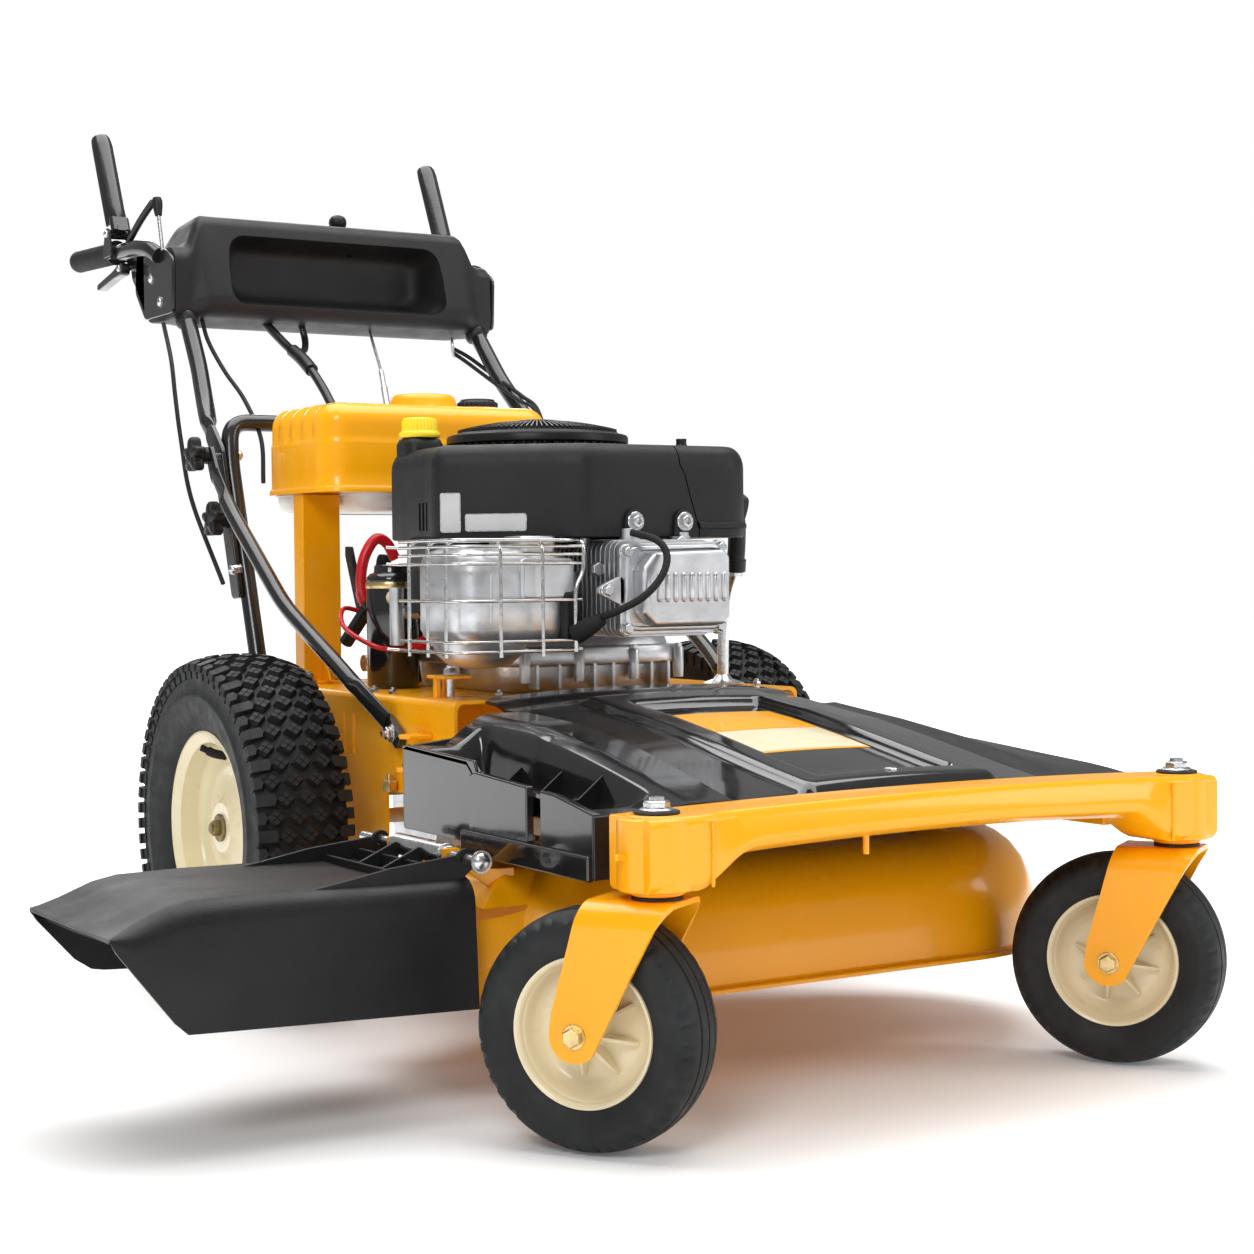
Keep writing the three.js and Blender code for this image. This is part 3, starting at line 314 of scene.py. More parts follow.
def pill(x0, y0, x1, y1, radius, steps=6):
    return [
        *arc(x1 - radius, y0 + radius, radius, -90, 0, steps),
        *arc(x1 - radius, y1 - radius, radius, 0, 90, steps),
        *arc(x0 + radius, y1 - radius, radius, 90, 180, steps),
        *arc(x0 + radius, y0 + radius, radius, 180, 270, steps),
    ]


def lathe(profile, centre=(0, 0, 0), axis=(0, 0, 1), sides=64, closed=False, wobble=None):
    """A profile of (radius, height) turned about an axis through the centre.

    wobble(index, angle) gives a change of radius.
    """
    turn = Vector(axis).to_track_quat("Z", "X").to_matrix()
    rings = []
    for index, (radius, height) in enumerate(profile):
        ring = []
        for k in range(sides):
            angle = 2 * math.pi * k / sides
            r = max(0.01, radius + (wobble(index, angle) if wobble else 0))
            ring.append(Vector(centre) + turn @ Vector((r * math.cos(angle), r * math.sin(angle), height)))
        rings.append(ring)
    return loft(rings, loop=closed)


def bar(start, end, radius, sides=24, end_radius=None):
    along = Vector(end) - Vector(start)
    last = radius if end_radius is None else end_radius
    return lathe([(radius, 0), (last, along.length)], start, along, sides)


def dome(centre, axis, radius, height, sides=24):
    """A low round cap."""
    count = 5
    profile = [(radius * math.cos(a), height * math.sin(a)) for a in
               (math.radians(90 * i / count) for i in range(count + 1))]
    return lathe([(radius, -0.5 * height), *profile], centre, axis, sides)


def route(points, bend, steps=7):
    """Points along straight runs whose corners are rounded off by `bend`."""
    at = [Vector(p) for p in points]
    out = [at[0]]
    for i in range(1, len(at) - 1):
        before, after = at[i - 1] - at[i], at[i + 1] - at[i]
        reach = min(bend, before.length * 0.49, after.length * 0.49)
        entry, leave = at[i] + before.normalized() * reach, at[i] + after.normalized() * reach
        for k in range(steps + 1):
            t = k / steps
            out.append(entry * (1 - t) ** 2 + at[i] * 2 * t * (1 - t) + leave * t * t)
    return [*out, at[-1]]


def spline(points, steps=6):
    """Points along a smooth curve through the given ones."""
    at = [Vector(p) for p in points]
    at = [2 * at[0] - at[1], *at, 2 * at[-1] - at[-2]]
    out = []
    for i in range(1, len(at) - 2):
        a, b, c, d = at[i - 1:i + 3]
        for k in range(steps):
            t = k / steps
            out.append(0.5 * (2 * b + (c - a) * t + (2 * a - 5 * b + 4 * c - d) * t ** 2
                              + (3 * b - a - 3 * c + d) * t ** 3))
    return [*out, at[-2]]


def tube(path, radius, sides=16, squash=None, first=None):
    """A round section along a path. squash(t) gives its width, along `first`, and height factors."""
    at = [Vector(p) for p in path]
    last = len(at) - 1
    tangents = [(at[min(i + 1, last)] - at[max(i - 1, 0)]).normalized() for i in range(len(at))]
    normal = Vector(first) if first else tangents[0].orthogonal()
    rings = []
    for i, (point, tangent) in enumerate(zip(at, tangents)):
        normal = (normal - tangent * normal.dot(tangent)).normalized()
        side = tangent.cross(normal)
        wide, high = squash(i / last) if squash else (1, 1)
        ring = []
        for k in range(sides):
            angle = 2 * math.pi * k / sides
            ring.append(point + radius * (normal * math.cos(angle) * wide + side * math.sin(angle) * high))
        rings.append(ring)
    return loft(rings)


def hexagon(centre, axis, across, height):
    """A bolt head: six flats with a round chamfer on top, standing on its centre."""
    radius = across / math.sqrt(3)
    body = lathe([(radius, 0), (radius, height * 0.82), (radius * 0.86, height)], centre, axis, 6)
    return body


def along(points, at):
    """A value read off a line of (place, value) points, held at the end values beyond both ends."""
    if at <= points[0][0]:
        return points[0][1]
    for (a, low), (b, high) in zip(points, points[1:]):
        if at <= b:
            return low + (high - low) * (at - a) / (b - a)
    return points[-1][1]


def panel(u_values, v_values, point, thickness, inward):
    """A sheet with a grid of top points and the same grid moved inward by its thickness."""
    step = Vector(inward) * thickness
    top = [[Vector(point(u, v)) for u in u_values] for v in v_values]
    points, faces = loft(top, caps=False, around=False)
    count = len(points)
    below = [p + step for p in points]
    faces = faces + [tuple(count + i for i in reversed(face)) for face in faces]
    wide, deep = len(u_values), len(v_values)
    rim = [*range(wide), *(wide * (r + 1) - 1 for r in range(1, deep)),
           *(wide * (deep - 1) + c for c in range(wide - 2, -1, -1)),
           *(wide * r for r in range(deep - 2, 0, -1))]
    for a, b in zip(rim, rim[1:] + rim[:1]):
        faces.append((a, b, count + b, count + a))
    return points + below, faces


def solid_mesh(name, shape):
    points, faces = shape
    mesh = bpy.data.meshes.new(name)
    mesh.from_pydata([place(p) for p in points], [], faces)
    grown = bmesh.new()
    grown.from_mesh(mesh)
    bmesh.ops.remove_doubles(grown, verts=grown.verts, dist=0.01 * MM)
    bmesh.ops.recalc_face_normals(grown, faces=grown.faces)
    grown.to_mesh(mesh)
    grown.free()
    return mesh


def carved(mesh, cutters):
    """The mesh with each cutter's shape taken away from it."""
    whole = bpy.data.objects.new("whole", mesh)
    tools = [bpy.data.objects.new("cutter", solid_mesh("cutter", cutter)) for cutter in cutters]
    for thing in (whole, *tools):
        bpy.context.collection.objects.link(thing)
    for tool in tools:
        difference = whole.modifiers.new("cut", "BOOLEAN")
        difference.operation = "DIFFERENCE"
        difference.solver = "EXACT"
        difference.object = tool
    bpy.context.view_layer.update()
    result = bpy.data.meshes.new_from_object(whole.evaluated_get(bpy.context.evaluated_depsgraph_get()))
    for thing in (whole, *tools):
        bpy.data.objects.remove(thing)
    return result


def piece(name, shape, material, body="chassis", edge=0.0, rounds=2, sharp=38, replaces=(), cutters=()):
    """One visible piece of a body. edge rounds its corners by that many mm, in `rounds` steps."""
    mesh = solid_mesh(name, shape)
    if cutters:
        mesh = carved(mesh, cutters)
        mesh.name = name
    grown = bmesh.new()
    grown.from_mesh(mesh)
    bmesh.ops.remove_doubles(grown, verts=grown.verts, dist=0.01 * MM)
    bmesh.ops.recalc_face_normals(grown, faces=grown.faces)
    for face in grown.faces:
        face.smooth = True
    for line in grown.edges:
        line.smooth = len(line.link_faces) != 2 or line.calc_face_angle(0) < math.radians(sharp)
    grown.to_mesh(mesh)
    grown.free()
    mesh.materials.clear()
    mesh.materials.append(material)
    made = bpy.data.objects.new(name, mesh)
    bpy.context.collection.objects.link(made)
    if edge:
        bevel = made.modifiers.new("edges", "BEVEL")
        bevel.width = edge * MM
        bevel.segments = rounds
        bevel.limit_method = "ANGLE"
        bevel.angle_limit = math.radians(sharp)
        bevel.harden_normals = True
    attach(made, body)
    if replaces:
        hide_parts(*replaces)
    return made


def keep_node(name, material):
    """A CAD node that stays as it is, with a finer material."""
    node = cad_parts[name]
    node.data.materials.clear()
    node.data.materials.append(material)


make_camera()
make_stage()

# ------------------------------------------------------------------ rear wheels
REAR_R = 211
REAR_HALF = 59
REAR_X = 346
AXLE_Z = REAR_R
TREAD_ROWS = 62
RIB_TURN = 0.032


def crown(x):
    """Radius of the tread's outer surface across the tyre."""
    return REAR_R - 10 * (abs(x) / REAR_HALF) ** 2.6


def tread_block(outline, row_angle, low, high, taper):
    """A block of the tread: its outline in (x, distance round the tyre), `taper` times wider at its foot."""
    cx = sum(u for u, _ in outline) / len(outline)
    cs = sum(s for _, s in outline) / len(outline)
    rings = []
    for rise, grow in ((low, taper), (high, 1.0)):
        ring = []
        for u, s in outline:
            x = cx + (u - cx) * grow
            angle = row_angle + (cs + (s - cs) * grow) / REAR_R
            r = crown(x) + rise
            ring.append((x, r * math.sin(angle), r * math.cos(angle)))
        rings.append(ring)
    return loft(rings)


def rear_tyre_shape():
    half = REAR_HALF
    carcass = [
        (112, 40), (117, 44), (121, 44.5), (126, 49), (140, 54.5), (158, half - 1.2), (160, half - 0.4),
        (163, half - 0.4), (165, half - 1.4), (184, half - 4), (186, half - 3.2), (189, half - 3.4),
        (191, half - 6), (197, 45), (201, 26), (203.5, 0),
    ]
    profile = [*carcass, *[(r, -w) for r, w in reversed(carcass[:-1])], (112, -36), (150, -50), (190, 0),
               (150, 50), (112, 36)]
    shapes = [lathe(profile, axis=(1, 0, 0), sides=96, closed=True)]
    wide, long, across = 9.6, 8.6, 26.5
    for row in range(TREAD_ROWS):
        angle = 2 * math.pi * row / TREAD_ROWS
        odd = row % 2
        for column in range(3 if odd else 4):
            x = (column - 1 if odd else column - 1.5) * across
            whole = [(x - wide, 0), (x, -long), (x + wide, 0), (x, long)]
            shapes.append(tread_block(whole, angle, -8, -1.8, 1.3))
            for du, ds in ((-1, 0), (1, 0), (0, -1), (0, 1)):
                cx, cs = x + du * wide * 0.52, ds * long * 0.52
                kite = [(cx - wide * 0.45, cs), (cx, cs - long * 0.45), (cx + wide * 0.45, cs),
                        (cx, cs + long * 0.45)]
                shapes.append(tread_block(kite, angle, -2.4, 0, 1.12))
        for way in (-1, 1):
            inner = 40 if odd else 52
            edge = [(way * (half + 0.5), -6.8), (way * inner, -6.8), (way * (inner - 2.5), 0),
                    (way * inner, 6.8),
                    (way * (half + 0.5), 6.8)]
            shapes.append(tread_block(edge, angle, -9, -0.6, 1.05))
            rib = [(182, half - 5), (182, half - 2.2), (199, half - 0.6), (203, half - 7), (197, half - 12)]
            ring = [[Vector((way * w, r * math.sin(angle + turn), r * math.cos(angle + turn))) for r,
                     w in rib]
                    for turn in (-RIB_TURN, RIB_TURN)]
            shapes.append(loft(ring))
    return merge(*shapes)


def rear_rim_shape():
    profile = [
        (10, 26), (30, 26), (34, 20), (52, 12), (70, 10.5), (74, 11.5), (78, 10.5), (96, 6), (101, 8),
               (104, 16),
        (105.5, 30), (109, 37), (115, 39.5), (118, 42), (118.5, 45), (116, 45.5), (113.5, 43), (108, 41),
               (104, 38),
    ]
    back = [(104, -38), (108, -41), (113.5, -43), (116, -45.5), (118.5, -45), (118, -42), (112, -37),
            (101, -30),
            (98, 0), (50, 6), (28, 8), (28, -36), (10, -36)]
    return lathe([*profile, *back], axis=(1, 0, 0), sides=96, closed=True)


def build_rear_wheels():
    tyre = rear_tyre_shape()
    rim = rear_rim_shape()
    for word, side in SIDES.items():
        body = f"rear_wheel_{word}"

        def put(shape):
            return moved(on_side(shape, side), lambda p: (p.x + side * REAR_X, p.y, p.z + AXLE_Z))

        piece(f"studded_tyre_{word}", put(tyre), TREAD, body, sharp=30, replaces=[f"rear_tyre_{word}"])
        shaft = bar((-REAR_X + 62, 0, 0), (30, 0, 0), 9.5)
        piece(f"dished_rim_{word}", put(merge(rim, shaft)), CREAM, body, sharp=50,
              replaces=[f"rear_rim_{word}"])
        stem = spline([(5, 26, 84), (22, 28, 88), (30, 30, 92)], 5)
        stem_end = spline([(29, 30, 91.5), (38, 31.5, 96)], 4)
        piece(f"valve_stem_{word}", put(merge(tube(stem, 5.5), tube(stem_end, 4))), RUBBER, body, sharp=50)
        bolt = merge(lathe([(10, 0), (16, 0), (17, 1), (17, 3), (16, 4), (8, 4)], (26, 0, 0), (1, 0, 0), 32),
                     hexagon((29, 0, 0), (1, 0, 0), 17, 9), bar((37, 0, 0), (40, 0, 0), 6))
        piece(f"hub_bolt_{word}", put(bolt), DULL_BRASS, body, edge=0.5)


build_rear_wheels()

# ------------------------------------------------------------------ casters
PIVOT_X = 319
PIVOT_Y = -898
TRAIL = 61
CASTER_Z = 110
CASTER_TURN = math.radians(33)
FORK_TOP = 229


def caster_put(side):
    turn = Matrix.Rotation(CASTER_TURN, 3, "Z")
    shift = Vector((side * PIVOT_X, PIVOT_Y, 0))
    return lambda shape: moved(shape, lambda p: turn @ p + shift)


def caster_tyre_shape():
    """Smooth sidewalls, three grooves round the tread and small notches along its edges."""
    half = [
        (62.5, 22), (65, 28), (69, 28.5), (73, 31), (80, 34.5), (88, 35.8), (90, 36.2), (92, 36), (97, 35.4),
        (101, 33.6), (103.5, 30.5), (105.5, 27.5), (107.2, 23), (108.6, 17), (108.8, 15.6), (106.2, 15.2),
            (106.2, 13.4),
        (109.3, 13), (109.8, 8), (109.9, 1.4), (107.2, 1),
    ]
    profile = [*half, *[(r, -w) for r, w in reversed(half)], (63, -21), (84, -29), (102, 0), (84, 29),
               (63, 21)]
    count = len(half)
    notched = {i for i, (r, w) in enumerate(half) if 101 <= r and 26 <= w}
    notched |= {2 * count - 1 - i for i in notched}
    notches = 44

    def wobble(index, angle):
        if index not in notched:
            return 0
        return -2.6 if (angle * notches / (2 * math.pi)) % 1 < 0.2 else 0

    return lathe(profile, (0, TRAIL, CASTER_Z), (1, 0, 0), notches * 5, closed=True, wobble=wobble)


def caster_rim_shape():
    half = [(56.5, 9), (59, 14), (60.5, 20), (62.5, 24), (66.5, 26), (68.5, 28.5), (68, 30.5), (65.5, 30),
            (63, 26.5)]
    outer = [(7, 33), (13.5, 33), (15, 31), (15.5, 12), (18, 7), (30, 4), (44, 3), (50, 5), *half, (62, 22)]
    inner = [(62, -22), *[(r, -w) for r, w in reversed(half)], (50, -5), (44, -3), (30, -4), (18, -7),
             (15.5, -12),
             (15, -31), (13.5, -33), (7, -33)]
    dish = lathe([*outer, *inner], (0, TRAIL, CASTER_Z), (1, 0, 0), 80, closed=True)
    ribs = []
    for k in range(8):
        for way in (-1, 1):
            rib = prism("z", [(way * 3, 14), (way * 29, 14.5), (way * 9, 43), (way * 3, 46)], -1.6, 1.6)
            turn = Matrix.Rotation(2 * math.pi * (k + 0.3) / 8, 3, "X")
            ribs.append(moved(rib, lambda p, turn=turn: turn @ p + Vector((0, TRAIL, CASTER_Z))))
    return merge(dish, *ribs)


def fork_shape():
    """A plate bent to an inverted U, each leg tapered down to a round end at the axle."""
    half, bend, end = 46, 22, 24
    section = [(-half, CASTER_Z - end + end * (1 - math.cos(math.radians(a)))) for a in range(0, 91, 15)]
    section += [(-half, z) for z in (130, 150, 170, 190)]
    section += arc(-half + bend, FORK_TOP - bend, bend, 180, 90, 8)
    section += [(x, FORK_TOP) for x in (-14, -5)]
    section += [(-x, z) for x, z in reversed(section)]
    edges = {"rear": [(110, 86), (116, 87), (228, 56)], "front": [(96, 43), (228, -27)]}
    rings = []
    for x, z in section:
        if z < CASTER_Z:
            reach = math.sqrt(max(0, end ** 2 - (CASTER_Z - z) ** 2))
            front, rear = TRAIL - reach, TRAIL + reach + 1
            front = max(front, along(edges["front"], z))
        else:
            front, rear = along(edges["front"], z), along(edges["rear"], z)
        rings.append([Vector((x, front + (rear - front) * k / 6, z)) for k in range(7)])
    thick = 5
    outer, inner = [], []
    for i, ring in enumerate(rings):
        before, after = rings[max(i - 1, 0)][3], rings[min(i + 1, len(rings) - 1)][3]
        run = Vector((after.x - before.x, 0, after.z - before.z)).normalized()
        inward = Vector((run.z, 0, -run.x)) * thick
        outer.append(ring)
        inner.append([p + inward for p in ring])
    rounds = [o + list(reversed(i)) for o, i in zip(outer, inner)]
    return loft(rounds)


def build_casters():
    tyre, rim, fork = caster_tyre_shape(), caster_rim_shape(), fork_shape()
    for word, side in SIDES.items():
        put = caster_put(side)
        wheel, body = f"caster_wheel_{word}", f"caster_{word}"
        piece(f"caster_tread_{word}", put(tyre), TREAD, wheel, sharp=40, replaces=[f"caster_tyre_{word}"])
        piece(f"ribbed_rim_{word}", put(rim), CREAM, wheel, sharp=45, replaces=[f"caster_rim_{word}"])
        piece(f"bent_fork_{word}", put(fork), YELLOW, body, edge=1.4, rounds=3, sharp=50,
              replaces=[f"caster_fork_{word}"])
        axle = bar((-52, TRAIL, CASTER_Z), (52, TRAIL, CASTER_Z), 6.2)
        heads = [hexagon((way * 46.4, TRAIL, CASTER_Z), (way, 0, 0), 16, 7.5) for way in (-1, 1)]
        collars = [lathe([(6, 0), (11, 0), (11.4, 0.6), (11, 1.4), (6, 1.4)], (way * 46, TRAIL, CASTER_Z),
                         (way, 0, 0), 28)
                   for way in (-1, 1)]
        piece(f"caster_axle_{word}", put(merge(axle, *heads, *collars)), BRASS, body, edge=0.5)
        stud = merge(bar((0, 0, 226), (0, 0, 306), 12.4), bar((0, 0, 305), (0, 0, 319), 8, end_radius=7))
        piece(f"caster_spindle_{word}", put(stud), STEEL, body, sharp=30)
        washers = merge(lathe([(13, 228.8), (23, 228.8), (23.4, 229.6), (23, 231.6), (13, 231.6)], sides=40),
                        lathe([(13, 304.4), (20.5, 304.4), (21, 305), (20.5, 307), (13, 307)], sides=40))
        piece(f"caster_washers_{word}", put(washers), DARK, body, edge=0.4)
        nut = merge(lathe([(8, 307), (15.5, 307), (16, 308), (13, 310), (8, 310)], sides=40),
                    hexagon((0, 0, 309), (0, 0, 1), 21, 7))
        piece(f"flange_nut_{word}", put(nut), STEEL, body, edge=0.7)


build_casters()

# ------------------------------------------------------------------ front beam
BEAM_HALF = 346
BEAM_FRONT, BEAM_BACK = -930, -860
TUBE_TOP = 304


def smoothstep(t):
    t = min(1, max(0, t))
    return t * t * (3 - 2 * t)


def beam_under(x):
    """Height of the beam's underside: deep boxed ends and a long shallow arch between them."""
    x = abs(x)
    arch = 270 - 6 * (x / 240) ** 2
    return 236 + (arch - 236) * smoothstep((292 - x) / 62)


def build_beam():
    across = [BEAM_HALF * (2 * i / 88 - 1) for i in range(89)]

    def section(x):
        low, high = beam_under(x), 302 + 6 * (1 - (x / BEAM_HALF) ** 2)
        end = smoothstep((abs(x) - 250) / 40)
        lean = 7 * (1 - end)
        corners = [(BEAM_FRONT + lean, high - 5), (BEAM_FRONT + lean + 5, high), (BEAM_BACK, high),
                   (BEAM_BACK, low + 4),
                   (BEAM_BACK - 4, low), (BEAM_FRONT + 22 - 14 * end, low),
                   (BEAM_FRONT + 4 - 3 * end, low + 7),
                   (BEAM_FRONT, low + 14), (BEAM_FRONT, low + 18 + (high - low - 40) * 0.5)]
        return [Vector((x, y, z)) for y, z in corners]

    shell = loft([section(x) for x in across])
    piece("formed_beam", shell, YELLOW, edge=2.2, rounds=3, sharp=28, replaces=["front_beam"])
    for word, side in SIDES.items():
        x = side * PIVOT_X
        collar = lathe([(13.4, 232.4), (22.6, 232.4), (24, 233.6), (24, TUBE_TOP - 1), (22.8, TUBE_TOP),
                        (13.4, TUBE_TOP)],
                       (x, PIVOT_Y, 0), (0, 0, 1), 56, closed=True)
        front = lathe([(33, 236.5), (35, 238), (35, 300), (33, 301.5)], (x, BEAM_FRONT + 34, 0), (0, 0, 1),
                      48)
        piece(f"pivot_tube_{word}", merge(collar, front), YELLOW, edge=0.6, sharp=40)

        def bead(index, angle):
            return 0.7 * math.sin(angle * 23 + index)

        weld = lathe([(23, -1.5), (26.5, -1), (27, 0.6), (25.5, 2), (23, 2.4)], (x, PIVOT_Y, TUBE_TOP - 2.6),
                     (0, 0, 1), 120,
                     wobble=bead)
        piece(f"pivot_weld_{word}", weld, YELLOW, sharp=60)
        seam = tube([(side * 281 + dice.uniform(-0.7, 0.7), BEAM_FRONT - 0.4,
                      240 + 2.2 * i) for i in range(27)], 1.7, 8)
        piece(f"end_weld_{word}", seam, YELLOW, sharp=60)
        nipple = merge(bar((x + side * 34, PIVOT_Y, 268), (x + side * 37, PIVOT_Y, 268), 4.4, 6),
                       bar((x + side * 36, PIVOT_Y, 268), (x + side * 42, PIVOT_Y, 268), 2.6, 16),
                       dome((x + side * 42, PIVOT_Y, 268), (side, 0, 0), 3.1, 2.2, 16))
        piece(f"grease_nipple_{word}", nipple, YELLOW, sharp=40)
    pin = merge(bar((-92, -905, 252), (-92, -905, 272), 3), bar((-92, -905, 271), (-92, -905, 275), 6))
    piece("beam_stop_pin", pin, YELLOW, sharp=40)


build_beam()

# ------------------------------------------------------------------ mower deck
SPINDLE_X = 185
SPINDLE_Y = -540
DECK_R = 197
DECK_SIDE = SPINDLE_X + DECK_R
HINGE_X, HINGE_Z = -391, 246


def deck_plan(inset):
    """Plan of the deck: two lobes round the blades and a straight mouth at the operator's right."""
    radius = DECK_R - inset
    return [
        *arc(SPINDLE_X, SPINDLE_Y, radius, -90, 90, 28),
        *arc(-SPINDLE_X, SPINDLE_Y, radius, 90, 130, 8),
        (-DECK_SIDE + inset, -420 - inset), (-DECK_SIDE + inset, -520), (-DECK_SIDE + inset, -600),
        (-DECK_SIDE + inset, -668 + inset / 2),
        *arc(-SPINDLE_X, SPINDLE_Y, radius, 222, 270, 10),
        (-90, SPINDLE_Y - radius), (0, SPINDLE_Y - radius), (90, SPINDLE_Y - radius),
    ]


def build_deck():
    barrel = [(2, 108), (1, 122), (1.5, 140), (4, 158), (9, 177), (17, 194), (29, 209), (44, 220), (62, 228),
              (84, 231.5), (110, 232)]
    lip = [(-6.5, 100.6), (-6.5, 104), (-5.2, 105.4), (0, 105.6)]
    outer = [*lip, *barrel]
    inner = [(inset + 3, z - 2.5) for inset, z in reversed(barrel)] + [(4, 100.6)]
    rings = [[Vector((x, y, z)) for x, y in deck_plan(inset)] for inset, z in [*inner, *outer]]
    mouth = box(-DECK_SIDE - 30, -662, 40, -SPINDLE_X - 120, -442, 194)
    piece("barrel_deck", loft(rings), YELLOW, "deck", sharp=34, cutters=[mouth], replaces=["deck_shell"])
    for word, side in SIDES.items():
        x = side * SPINDLE_X
        housing = lathe([(13.6, 140), (25, 140), (27, 144), (27, 200), (40, 214), (44, 229)],
                        (x, SPINDLE_Y, 0), sides=48)
        flange = lathe([(13.6, 231), (58, 231), (58, 235), (42, 236), (39, 246), (13.6, 246)],
                       (x, SPINDLE_Y, 0),
                       sides=48, closed=True)
        piece(f"spindle_housing_{word}", merge(housing, flange), CAST, "deck", sharp=40)
        bolts = [hexagon((x + 50 * math.cos(a), SPINDLE_Y + 50 * math.sin(a), 235), (0, 0, 1), 10, 6)
                 for a in (math.radians(45 + 90 * k) for k in range(4))]
        piece(f"spindle_bolts_{word}", merge(*bolts), STEEL, "deck", edge=0.4)
        hangers = []
        for y in (-610, -470):
            outline = [(y, 226), (y + 40, 226), (y + 40, 250), (y + 28, 262), (y + 12, 262), (y, 250)]
            hangers.append(slab(outline, side, 246, 251))
        piece(f"deck_hangers_{word}", merge(*hangers), YELLOW, "deck", edge=1)
    brackets = [prism("y", [(-399, 238), (-385, 238), (-345, 208), (-322, 208), (-322, 229), (-350, 230),
                            (-384, 253),
                            (-399, 253)], y - 3, y + 3) for y in (-640, -520)]
    piece("chute_brackets", merge(*brackets), YELLOW, "deck", edge=1)
    rod = bar((HINGE_X, -706, HINGE_Z), (HINGE_X, -446, HINGE_Z), 5)
    sleeve = bar((HINGE_X, -634, HINGE_Z), (HINGE_X, -526, HINGE_Z), 11)
    piece("hinge_rod", rod, STEEL, "deck", sharp=40)
    piece("hinge_sleeve", sleeve, STEEL, "deck", edge=1)
    washer = lathe([(5, 0), (11, 0), (11, 2), (5, 2)], (HINGE_X, -703, HINGE_Z), (0, -1, 0), 28)
    head = merge(dome((HINGE_X, -704, HINGE_Z), (0, -1, 0), 9, 6), washer)
    piece("hinge_bolt_head", head, STEEL, "deck", sharp=45)


# ------------------------------------------------------------------ discharge chute
CHUTE_FRONT, CHUTE_BACK = -690, -460


def build_chute():
    """A moulded channel with a rounded front shoulder, open below and at its outer end."""
    stations = [-390, -400, -430, -470, -520, -560, -600, -640, -664, -676, -688, -704, -722, -740, -746]
    top_line = [(-746, 205), (-722, 213), (-688, 226), (-664, 230.5), (-600, 231.5), (-390, 229)]
    front_low = [(-746, 203), (-740, 192), (-683, 119), (-676, 114.5), (-664, 114), (-390, 106)]
    back_low = [(-746, 201), (-742, 194), (-700, 147), (-690, 141), (-676, 138.5), (-390, 122)]
    thick = 4.2
    rings = []
    for x in stations:
        top, front, back = along(top_line, x), along(front_low, x), along(back_low, x)
        radius = min(24, (top - front) * 0.45 + 1)
        rear_radius = min(9, (top - back) * 0.4 + 1)
        lean = 6 * smoothstep((x + 746) / 340)
        outer = [(CHUTE_FRONT - lean, front)]
        outer += [(CHUTE_FRONT - lean * 0.5, front + (top - radius - front) * 0.5)]
        outer += arc(CHUTE_FRONT + radius, top - radius, radius, 180, 90, 6)
        outer += [(CHUTE_FRONT + 90, top - 1.5), (CHUTE_BACK - 60, top - 1.5)]
        outer += arc(CHUTE_BACK - rear_radius, top - rear_radius, rear_radius, 90, 0, 3)
        outer += [(CHUTE_BACK, back)]
        inner = [(outer[0][0] + thick, outer[0][1])]
        inner += [(y + thick * 0.9, z - (thick * 0.6 if i else 0)) for i, (y, z) in enumerate(outer[1:7], 1)]
        inner += [(y, z - thick) for y, z in outer[7:-4]]
        inner += [(y - thick * 0.7, z - thick * 0.7) for y, z in outer[-4:-1]]
        inner += [(CHUTE_BACK - thick, back)]
        rings.append([Vector((x, y, z)) for y, z in [*outer, *reversed(inner)]])
    piece("chute_shell", loft(rings), GRAINED, "chute", edge=1.0, sharp=48, replaces=["chute"])
    gussets = []
    for y in (CHUTE_FRONT + 16, CHUTE_BACK - 28):
        fin = [(-560, 228), (-396, 226), (-384, 236), (-381, 246), *arc(HINGE_X, HINGE_Z, 10, 0, 180, 6),
               (-402, 250),
               (-470, 243), (-520, 234)]
        gussets.append(prism("y", fin, y, y + 5))
    for x, height in ((-420, 12), (-455, 8)):
        gussets.append(prism("x", [(CHUTE_FRONT + 22, 228), (CHUTE_BACK - 30, 228),
                                   (CHUTE_BACK - 34, 228 + height),
                                   (CHUTE_FRONT + 26, 228 + height)], x, x + 4))
    for y in (-600, -548):
        gussets.append(prism("y", [(-455, 228), (-402, 228), (-398, 249), (-404, 251)], y, y + 4))
    bores = [bar((HINGE_X, -720, HINGE_Z), (HINGE_X, -440, HINGE_Z), 5.4)]
    for number, gusset in enumerate(gussets):
        piece(f"chute_gusset_{number}", gusset, GRAINED, "chute", edge=0.8,
              cutters=bores if number < 2 else ())
    coil, pitch, turns = 7.5, 1.35, 9
    spring = []
    for k in range(151):
        t = 2 * math.pi * turns * k / 150
        spring.append((HINGE_X + coil * math.cos(t), -640 + pitch * t, HINGE_Z + coil * math.sin(t)))
    piece("chute_spring", tube(spring, 1.3, 8), STEEL, "chute", sharp=60)


build_deck()
build_chute()

# ------------------------------------------------------------------ belt covers
COVER_TOP = [(-852, 304), (-835, 309), (-770, 320), (-700, 333), (-640, 344), (-560, 357), (-500, 364),
             (-420, 374),
             (-341, 379)]
SEAM_X = 196
PANEL = (-84, 92, -818, -470)    # recessed panel: right, left, front and rear edge


def cover_height(x, y):
    return along(COVER_TOP, y) - 9 * (x / SEAM_X) ** 2


